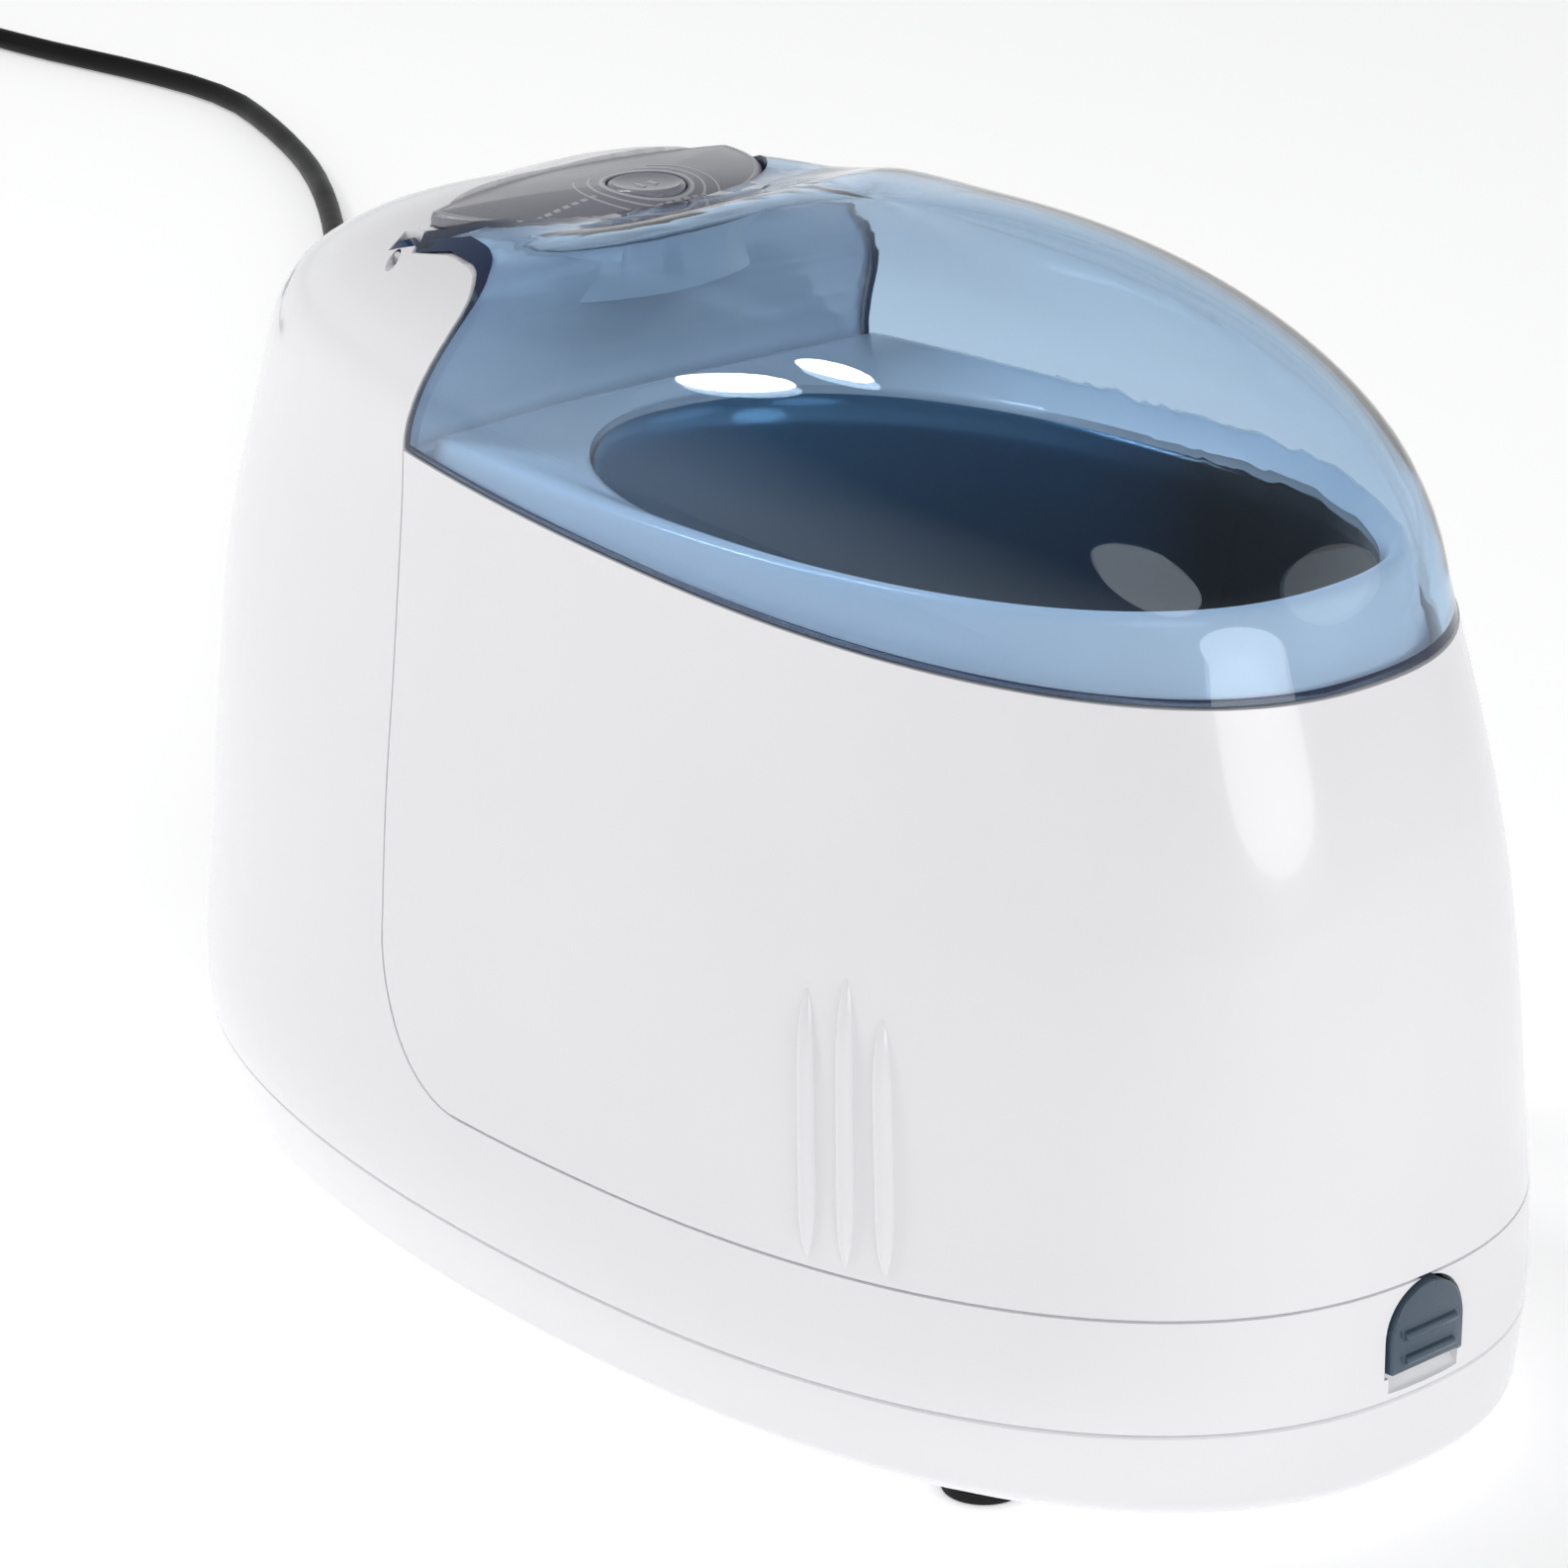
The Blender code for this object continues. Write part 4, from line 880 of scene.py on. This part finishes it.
def make_base_housing():
    housing = form("housing_base", SEAM_Z + 0.0001, 0.0, WHITE)
    far = 0.200
    ell = [(-far, -0.010), (-far, BAND_Z), (COLUMN_FOOT_Y - CORNER_RADIUS, BAND_Z)]
    ell += corner_points(0.0) + head_line(0.0)
    ell += [(HINGE_Y, far), (far, far), (far, -0.010)]
    region = prism("cut_ell", ell, "X", -0.080, 0.080)
    boolean(region, prism("cut_pod", panel_outline(0.0, 0.0520), "Z", 0.1330, POD_TOP_Z), "UNION")
    boolean(region, box("cut_behind_panel", (-PANEL_HALF_WIDTH, PANEL_REAR_Y + GAP, 0.1340),
                        (PANEL_HALF_WIDTH, HINGE_Y + 0.0040, 0.1900)), "UNION")
    boolean(housing, region, "INTERSECT")
    inner = form("cut_housing_inner", -0.010, WALL, None, 1, 96)
    inset_ell = [(-far, -0.020), (-far, BAND_Z - WALL), (column_line(BAND_Z + 0.002) + WALL, BAND_Z - WALL)]
    inset_ell += corner_points(WALL, 5)
    inset_ell += [(COLUMN_Y + WALL, 0.1180), (0.0352, 0.1230), (0.0310, 0.1340), (0.0296, 0.1366),
                  (0.0310, 0.1386), (0.0420, 0.1388), (0.0445, 0.1345), (0.0535, 0.1345),
                  (0.0560, 0.1600), (far, 0.1600), (far, -0.020)]
    boolean(inner, prism("cut_inner_ell", inset_ell, "X", -0.080, 0.080), "INTERSECT")
    boolean(housing, inner, "DIFFERENCE")
    boolean(housing, prism("cut_seat", panel_edge(0.00015), "Z", POD_TOP_Z, 0.200), "DIFFERENCE")
    boolean(housing, rod("cut_well", (0, BUTTON_Y, 0.1370), (0, BUTTON_Y, 0.1500), 0.0034), "DIFFERENCE")
    for side in (-1, 1):
        x0, x1 = sorted((side * (EAR_X[0] - GAP), side * (EAR_X[1] + GAP)))
        slot = [(0.0425, 0.1600), (0.0425, HINGE_Z - 0.0019)]
        slot += arc((HINGE_Y, HINGE_Z), EAR_RADIUS + 0.0005, 219, 390, 20)
        slot += [(HINGE_Y + 0.0025, 0.1600)]
        boolean(housing, prism("cut_ear", slot, "X", x0, x1), "DIFFERENCE")
        hole = rod("cut_pin", (side * 0.0240, HINGE_Y, HINGE_Z), (side * 0.0350, HINGE_Y, HINGE_Z),
                   PIN_RADIUS + 0.0003)
        boolean(housing, hole, "DIFFERENCE")
    boolean(housing, prism("cut_latch_bay", latch_outline(GAP + 0.0001), "Y", -0.130, -0.104), "DIFFERENCE")
    slope = [(-0.1300, SCOOP_Z)] + [(-0.1146 + 0.0017 * t, SCOOP_Z + 0.0019 * t ** 1.6) for t in
                                    (0, 0.25, 0.5, 0.75, 1)] + [(-0.1129, 0.0212), (-0.1300, 0.0212)]
    half = LATCH_HALF_WIDTH - 0.0003
    boolean(housing, prism("cut_scoop", slope, "X", -half, half), "DIFFERENCE")
    boolean(housing, box("cut_socket", (-0.0104, -0.0304, 0.025), (0.0104, -0.0136, 0.040)), "DIFFERENCE")
    rounded(housing, 0.00030)
    return shaded(housing, [OUTSIDE])


place(make_base_housing(), "base", "white_housing", "base_housing")


# ---- tank unit
def tank_ring(level, inset, floor=BAND_Z + GAP, steps=STEPS):
    points = []
    for angle in plan_angles(steps):
        z = floor
        for _ in range(4):
            x, y = skin(angle, z, inset)
            y = min(y, column_line(max(z, BAND_Z), GAP + inset))
            z = floor + level * (rim_height(y) - floor)
        points.append((x, y, z))
    return points


def opening_ring(grow, z, steps=STEPS):
    points = []
    for angle in plan_angles(steps):
        c = cos(angle)
        s = sin(angle)
        x = (OPENING_HALF_WIDTH + grow) * (abs(c) ** (2 / OPENING_POWER)) * (1 if c > 0 else -1)
        y = OPENING_Y + (OPENING_HALF_LENGTH + grow) * (abs(s) ** (2 / OPENING_POWER)) * (1 if s > 0 else -1)
        points.append((x, y, z))
    return points


def wall_angle(y, z):
    low = -pi / 2
    high = 0.0
    for _ in range(24):
        middle = (low + high) / 2
        if skin(middle, z)[1] < y:
            low = middle
        else:
            high = middle
    return (low + high) / 2


def grip_rib(side, index):
    """Upright finger rib with pointed ends, standing a little proud of the tank wall."""
    y0 = -0.0592 - 0.0056 * index
    low = 0.0345
    high = (0.0690, 0.0715, 0.0675)[index]
    rings = []
    count = 40
    for k in range(count + 1):
        t = k / count
        z = low + (high - low) * t
        swell = 1 - abs(2 * t - 1) ** 5
        half = 0.00022 + 0.00105 * swell
        y = y0 + 0.0040 * t
        depth = 0.00003 + 0.00125 * swell
        row = []
        for j in range(9):
            u = -1 + j / 4
            place_y = y + half * u
            x, _ = skin(wall_angle(place_y, z), z)
            row.append((side * (x + depth * (1 - u * u) ** 0.8), place_y, z))
        x, _ = skin(wall_angle(y, z), z)
        row += [(side * (x - 0.0012), y + half, z), (side * (x - 0.0012), y - half, z)]
        rings.append(row)
    return stacked("cut_rib", rings)


def make_tank_shell():
    far = 0.200
    shell = form("housing_tank", BAND_Z + GAP, 0.0, WHITE)
    side = [(-far, BAND_Z + GAP), (COLUMN_FOOT_Y - CORNER_RADIUS, BAND_Z + GAP)]
    side += [(y - GAP, z + GAP * 0.6) for y, z in corner_points(0.0)]
    side += [(column_line(rim_height(COLUMN_Y), GAP), rim_height(COLUMN_Y)), (-far, rim_height(-far))]
    boolean(shell, prism("cut_shell", side, "X", -0.080, 0.080), "INTERSECT")
    floor_in = BAND_Z + GAP + WALL
    inner = stacked("cut_shell_inner", [tank_ring(level, WALL, floor_in, 96) for level in
                                        (0.0, 0.1, 0.2, 0.45, 0.7, 0.9, 1.0, 1.1)])
    boolean(shell, inner, "DIFFERENCE")
    for sign in (-1, 1):
        for k in range(3):
            boolean(shell, grip_rib(sign, k), "UNION")
    boolean(shell, prism("cut_notch", latch_outline(GAP + 0.0001), "Y", -0.130, -0.104), "DIFFERENCE")
    boolean(shell, box("cut_port", (-0.0104, -0.0304, 0.030), (0.0104, -0.0136, 0.040)), "DIFFERENCE")
    rounded(shell, 0.00030, 2, 40)
    return shaded(shell, [OUTSIDE])


place(make_tank_shell(), "base", "white_housing", "tank_shell")


def blend_ring(first, second, share, z):
    return [(a[0] + (b[0] - a[0]) * share, a[1] + (b[1] - a[1]) * share, z) for a, b in zip(first, second)]


def make_tank_deck():
    def outer_ring(z, inset):
        points = []
        for angle in plan_angles(STEPS):
            x, y = skin(angle, z, inset)
            points.append((x, min(y, COLUMN_Y - inset), z))
        return points
    clear = WALL + 2 * GAP
    low = [(x, y, z - 0.0045) for x, y, z in tank_ring(1.0, clear)]
    lip = outer_ring(DECK_TOP_Z, clear + 0.0018)
    mouth = opening_ring(0.0, DECK_TOP_Z)
    rings = [low, outer_ring(0.1180, clear + 0.0008), outer_ring(0.1189, clear + 0.0010),
             outer_ring(DECK_TOP_Z - 0.0001, clear + 0.0014), outer_ring(DECK_TOP_Z, clear + 0.0019),
             blend_ring(lip, mouth, 0.12, DECK_TOP_Z)]
    for share in (0.22, 0.34, 0.46, 0.58, 0.70, 0.80, 0.88, 0.95):
        fall = (share - 0.12) / 0.88
        rings.append(blend_ring(lip, mouth, share, DECK_TOP_Z - 0.0030 * fall ** 1.6))
    rings += [opening_ring(0.0004, BASIN_RIM_Z + 0.0004), opening_ring(0.0004, BASIN_RIM_Z - 0.0008)]
    rings += [blend_ring(low, mouth, 0.97, BASIN_RIM_Z - 0.0030), blend_ring(low, mouth, 0.40, 0.1130)]
    rings += [[(x, y, z - 0.0045) for x, y, z in tank_ring(1.0, clear + WALL * 0.8)]]
    deck = stacked("deck", rings, WHITE, True)
    return shaded(deck, (), 50)


place(make_tank_deck(), "base", "white_housing", "tank_deck")


def make_basin():
    """Pressed stainless basin: rolled lip, near-upright wall, round bottom corner."""
    low = BASIN_FLOOR_Z
    top = BASIN_RIM_Z
    inner = [opening_ring(-0.0002, top - 0.0001), opening_ring(-0.0005, top - 0.0004),
             opening_ring(-0.0012, top - 0.0016), opening_ring(-0.0016, top - 0.0050)]
    inner += [opening_ring(-0.0017 - 0.0019 * t, top - 0.0050 - (top - 0.0050 - low - 0.0150) * t)
              for t in (0.2, 0.4, 0.6, 0.8, 1.0)]
    for k in range(1, 10):
        a = k * pi / 18
        inner.append(opening_ring(-0.0036 - 0.0160 * (1 - cos(a)), low + 0.0150 * (1 - sin(a))))
    centre = (0.0, OPENING_Y)
    floor = inner[-1]
    inner += [[(centre[0] + (x - centre[0]) * s, centre[1] + (y - centre[1]) * s, low) for x, y, _ in floor]
              for s in (0.75, 0.5, 0.25, 0.05)]
    outer = [opening_ring(-0.0200, low - BASIN_SHEET), opening_ring(-0.0136, low - BASIN_SHEET + 0.0006),
             opening_ring(-0.0079, low + 0.0024), opening_ring(-0.0042, low + 0.0078),
             opening_ring(-0.0026, low + 0.0160), opening_ring(-0.0008, top - 0.0200),
             opening_ring(0.0000, top - 0.0032), opening_ring(0.0000, top - 0.0004)]
    basin = stacked("basin", inner[::-1] + outer[::-1], STEEL)
    return shaded(basin)


place(make_basin(), "base", "basin_steel", "tank_basin")


# ---- lid
def make_lid():
    cover = form("lid_clear", 0.0900, 0.0002, LID)
    boolean(cover, form("cut_lid_inner", 0.0800, 0.0026, None), "DIFFERENCE")
    far = 0.200
    start = (-far, rim_height(-far) + GAP)
    corner = (COLUMN_Y - GAP, rim_height(COLUMN_Y) + GAP)
    side = [start, corner] + head_line(GAP)[1:] + [(HINGE_Y - 0.0004, far), (-far, far)]
    boolean(cover, prism("cut_lid_side", side, "X", -0.080, 0.080), "INTERSECT")
    boolean(cover, prism("cut_lid_notch", panel_outline(-0.0006, 0.0600), "Z", 0.1200, 0.1700), "DIFFERENCE")
    for sign in (-1, 1):
        x0, x1 = sorted((sign * EAR_X[0], sign * EAR_X[1]))
        neck = [(0.0432, HINGE_Z + 0.0030), (0.0432, HINGE_Z - 0.0012), (HINGE_Y - 0.0004, HINGE_Z - 0.0017)]
        neck += arc((HINGE_Y, HINGE_Z), EAR_RADIUS, 270, 450, 20)
        neck += [(HINGE_Y - 0.0024, HINGE_Z + 0.0012)]
        boolean(cover, prism("cut_ear", neck, "X", x0, x1), "UNION")
        boolean(cover, rod("cut_hole", (sign * 0.0260, HINGE_Y, HINGE_Z), (sign * 0.0320, HINGE_Y, HINGE_Z),
                           PIN_RADIUS + 0.00006), "DIFFERENCE")
    rounded(cover, 0.00025, 2, 40)
    # The cut edge faces, which lie off both lid surfaces, take the navy painted shade.
    cover.data.materials.append(LID_EDGE_PAINTED_SHADE)
    for face in cover.data.polygons:
        far_out = LID_OUTSIDE.tree.find_nearest(face.center)[3]
        far_in = LID_INSIDE.tree.find_nearest(face.center)[3]
        if min(far_out, far_in) > 0.00022:
            face.material_index = 1
    return shaded(cover, [LID_OUTSIDE, LID_INSIDE])


place(make_lid(), "lid", "blue_lid", "lid")


# ---- control panel and its marks
def panel_height(x, y):
    """Height of the panel's crowned face, from the button to the edge."""
    dx = x
    dy = y - BUTTON_Y
    reach = sqrt(dx * dx + dy * dy)
    if reach < 1e-7:
        return PANEL_EDGE_Z + PANEL_CROWN
    ux = dx / reach
    uy = dy / reach
    low = 0.0
    high = 0.060
    for _ in range(30):
        middle = (low + high) / 2
        px = ux * middle
        py = BUTTON_Y + uy * middle
        if py < PANEL_REAR_Y:
            inside = (px / PANEL_HALF_WIDTH) ** 2 + ((PANEL_REAR_Y - py) / PANEL_DEPTH) ** 2 < 1
        else:
            inside = py - PANEL_REAR_Y < PANEL_BOW * (1 - (px / PANEL_HALF_WIDTH) ** 2)
        if inside:
            low = middle
        else:
            high = middle
    t = min(reach / low, 1.0)
    return PANEL_EDGE_Z + PANEL_CROWN * (1 - t * t)


def make_panel():
    edge = panel_edge(0.0)
    middle = Vector((0, BUTTON_Y))

    def loop(scale, z):
        row = []
        for p in edge:
            q = middle.lerp(Vector(p), scale)
            row.append((q.x, q.y, z))
        return row
    rows = [loop(1.0, POD_TOP_Z + GAP), loop(1.0, PANEL_EDGE_Z - 0.0006), loop(0.996, PANEL_EDGE_Z - 0.0002)]
    rows += [loop(s, PANEL_EDGE_Z + PANEL_CROWN * (1 - s * s)) for s in
             (0.985, 0.96, 0.92, 0.86, 0.8, 0.7, 0.6, 0.5, 0.4, 0.3, 0.2)]
    panel = stacked("panel", rows, PANEL)
    hole = rod("cut_button", (0, BUTTON_Y, 0.140), (0, BUTTON_Y, 0.150), BUTTON_RADIUS + 0.0003, None, 64)
    boolean(panel, hole, "DIFFERENCE")
    rounded(panel, 0.00015)
    place(shaded(panel), "base", "panel_grey", "control_panel")
    top = PANEL_EDGE_Z + PANEL_CROWN
    profile = [(0.0030, 0.1385), (0.0030, 0.1436), (BUTTON_RADIUS, 0.1438), (BUTTON_RADIUS, top - 0.0005),
               (BUTTON_RADIUS - 0.0002, top - 0.0002), (BUTTON_RADIUS - 0.0006, top)]
    profile += [(BUTTON_RADIUS * (1 - 0.16 * k), top - 0.0005 * (k / 6) ** 0.5 * 0.9) for k in range(2, 6)]
    button = turned("button", profile, (0, BUTTON_Y, 0), (0, 0, 1), BUTTON, 64)
    place(shaded(button), "power_button", "panel_grey", "power_button")


make_panel()


def ribbon(name, path, half, lift, mat, height_of):
    """Thin printed line that follows the surface under it."""
    bm = bmesh.new()
    rows = []
    for k, p in enumerate(path):
        before = Vector(path[max(k - 1, 0)])
        after = Vector(path[min(k + 1, len(path) - 1)])
        way = (after - before).normalized()
        across = Vector((-way.y, way.x))
        row = []
        for u, dz in ((-1, -0.00008), (-0.8, lift), (0.8, lift), (1, -0.00008)):
            q = Vector(p) + across * half * u
            row.append(bm.verts.new((q.x, q.y, height_of(q.x, q.y) + dz)))
        rows.append(row)
    for a, b in zip(rows, rows[1:]):
        for k in range(4):
            n = (k + 1) % 4
            bm.faces.new((a[k], a[n], b[n], b[k]))
    bm.faces.new(rows[0])
    bm.faces.new(rows[-1])
    return shaded(to_object(name, bm, mat), (), 60)


def button_height(x, y):
    """Height of the button's slightly dished top."""
    reach = min(sqrt(x * x + (y - BUTTON_Y) ** 2) / BUTTON_RADIUS, 1.0)
    return PANEL_EDGE_Z + PANEL_CROWN - 0.00045 * sqrt((1.0 - reach) / 0.96)


def circle_path(radius, start, end, count=48):
    """Arc round the button; angles in degrees."""
    turns = [(start + (end - start) * k / count) * pi / 180 for k in range(count + 1)]
    return [(radius * cos(a), BUTTON_Y + radius * sin(a)) for a in turns]


def panel_mark(name, path, half, lift=MARK_LIFT, mat=MARK_LIGHT):
    place(ribbon(name, path, half, lift, mat, panel_height), "base", "panel_grey")


def dashes(name, first_x, y, count, half):
    """A row of short dashes along X."""
    for k in range(count):
        x = first_x + DASH_PITCH * k
        panel_mark(f"{name}_{k + 1}", [(x, y), (x + DASH_LENGTH / 2, y), (x + DASH_LENGTH, y)], half)


def make_marks():
    """Generic print: a ring and arcs round the button, bars on it, rows of dashes, a paler border."""
    panel_mark("mark_ring", circle_path(RING_RADIUS, 0, 360, 96), 0.00032)
    for k, (start, end) in enumerate(((-60, 60), (120, 240))):
        panel_mark(f"mark_arc_{k + 1}", circle_path(0.0080, start, end), 0.00022)
        panel_mark(f"mark_arc_{k + 3}", circle_path(0.0100, start + 12, end - 12), 0.00018)
    dashes("mark_left", -0.0230, 0.0330, 9, 0.00045)
    dashes("mark_front", -0.0040, 0.0262, 6, 0.00030)
    border = panel_edge(-BORDER_INSET)
    border.append(border[0])
    panel_mark("mark_border", border, 0.00050, 0.00004, BORDER)
    for k, x in enumerate((-0.0011, 0.0011)):
        path = [(x, BUTTON_Y - 0.0009), (x, BUTTON_Y), (x, BUTTON_Y + 0.0009)]
        bar = ribbon(f"mark_bar_{k + 1}", path, 0.00035, 0.00014, MARK_LIGHT, button_height)
        place(bar, "power_button", "panel_grey")


make_marks()


# ---- latch
def make_latch():
    button = prism("catch", latch_outline(-0.0001), "Y", LATCH_FACE_Y + RIB_PROUD, LATCH_BACK_Y, LATCH)
    for half, z in ((0.0046, 0.0222), (0.0049, 0.0256)):
        root = LATCH_FACE_Y + RIB_PROUD + 0.0006
        outline = [(root, z)]
        for k in range(9):
            a = k * pi / 8
            outline.append((LATCH_FACE_Y + RIB_PROUD - RIB_PROUD * sin(a), z + 0.0008 - 0.0007 * cos(a)))
        outline.append((root, z + 0.0016))
        boolean(button, prism("cut_latch_rib", outline, "X", -half, half), "UNION")
    boolean(button, rod("cut_stem", (0, LATCH_BACK_Y - 0.001, 0.0262), (0, -0.1039, 0.0262), 0.0030), "UNION")
    rounded(button, 0.00045, 3)
    return shaded(button)


place(make_latch(), "latch", "latch_slate", "latch_button")


# ---- CAD nodes that are shown as they are
CARRIED = {
    "latch_spring": ZINC, "spring_bracket": WHITE, "base_socket": LATCH, "tank_plug": LATCH,
    "main_board": BOARD, "control_board": BOARD, "board_rest": WHITE, "inductor": CORE,
    "filter_capacitor": LATCH, "heat_sink": ALUMINIUM, "transducer_horn": ALUMINIUM,
    "transducer_back": CORE, "transducer_bolt": ZINC, "piezo_ring_1": CERAMIC, "piezo_ring_2": CERAMIC,
    "hinge_pin_left": ZINC, "hinge_pin_right": ZINC, "plug_blade_1": BRASS, "plug_blade_2": BRASS,
    "cover_screw_1": ZINC, "cover_screw_2": ZINC, "cover_screw_3": ZINC, "cover_screw_4": ZINC,
}
for node, mat in CARRIED.items():
    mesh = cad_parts[node].data
    mesh.materials.clear()
    mesh.materials.append(mat)


# ---- floor, light
def make_floor():
    m = Nodes("floor_pale")
    tone = m.colours(m.noise(1.2, 3.0), (0.3, (0.930, 0.930, 0.935)), (0.7, (0.950, 0.950, 0.953)))
    m.feed("Base Color", tone)
    m.feed("Roughness", m.ramp(m.noise(40.0), 0.3, 0.7, 0.62, 0.70))
    m.set(Specular_IOR_Level=0.2, Emission_Color=(1.0, 1.0, 1.0, 1.0), Emission_Strength=0.42)
    bm = bmesh.new()
    bmesh.ops.create_grid(bm, x_segments=8, y_segments=8, size=6.0)
    floor = to_object("floor", bm, m.mat)
    for face in floor.data.polygons:
        if face.normal.z < 0:
            floor.data.flip_normals()
            break


def make_light(name, place_at, target, size, power):
    data = bpy.data.lights.new(name, "AREA")
    data.shape = "ELLIPSE"
    data.size = size[0]
    data.size_y = size[1]
    data.energy = power
    light = bpy.data.objects.new(name, data)
    bpy.context.scene.collection.objects.link(light)
    light.location = place_at
    way = Vector(target) - Vector(place_at)
    light.rotation_euler = way.to_track_quat("-Z", "Y").to_euler()


def make_world():
    """Studio surroundings: bright round the horizon, darker overhead."""
    world = bpy.data.worlds.new("studio")
    bpy.context.scene.world = world
    world.use_nodes = True
    tree = world.node_tree
    background = tree.nodes["Background"]
    background.inputs["Color"].default_value = (0.98, 0.99, 1.0, 1.0)
    sky = tree.nodes.new("ShaderNodeTexCoord")
    split = tree.nodes.new("ShaderNodeSeparateXYZ")
    level = tree.nodes.new("ShaderNodeMapRange")
    level.inputs["From Min"].default_value = 0.10
    level.inputs["From Max"].default_value = 0.60
    level.inputs["To Min"].default_value = 0.90
    level.inputs["To Max"].default_value = 0.20
    tree.links.new(sky.outputs["Generated"], split.inputs["Vector"])
    tree.links.new(split.outputs["Z"], level.inputs["Value"])
    tree.links.new(level.outputs["Result"], background.inputs["Strength"])


make_floor()
make_world()
make_light("key", (-0.9, -1.5, 1.5), (0, 0, 0.05), (1.2, 1.2), 6.0)
make_light("fill", (1.3, -1.5, 1.0), (0, 0, 0.07), (1.4, 1.0), 3.0)
make_light("softbox_1", (-0.61, 0.93, 1.145), (-0.038, -0.029, 0.139), (0.14, 0.44), 4.5)
make_light("softbox_2", (-0.30, 0.71, 1.41), (-0.033, -0.041, 0.142), (0.14, 0.30), 3.0)
make_light("softbox_front", (-0.15, -1.55, 0.42), (0, -0.1, 0.10), (0.95, 0.48), 3.2)
bpy.context.scene.view_settings.view_transform = "Standard"
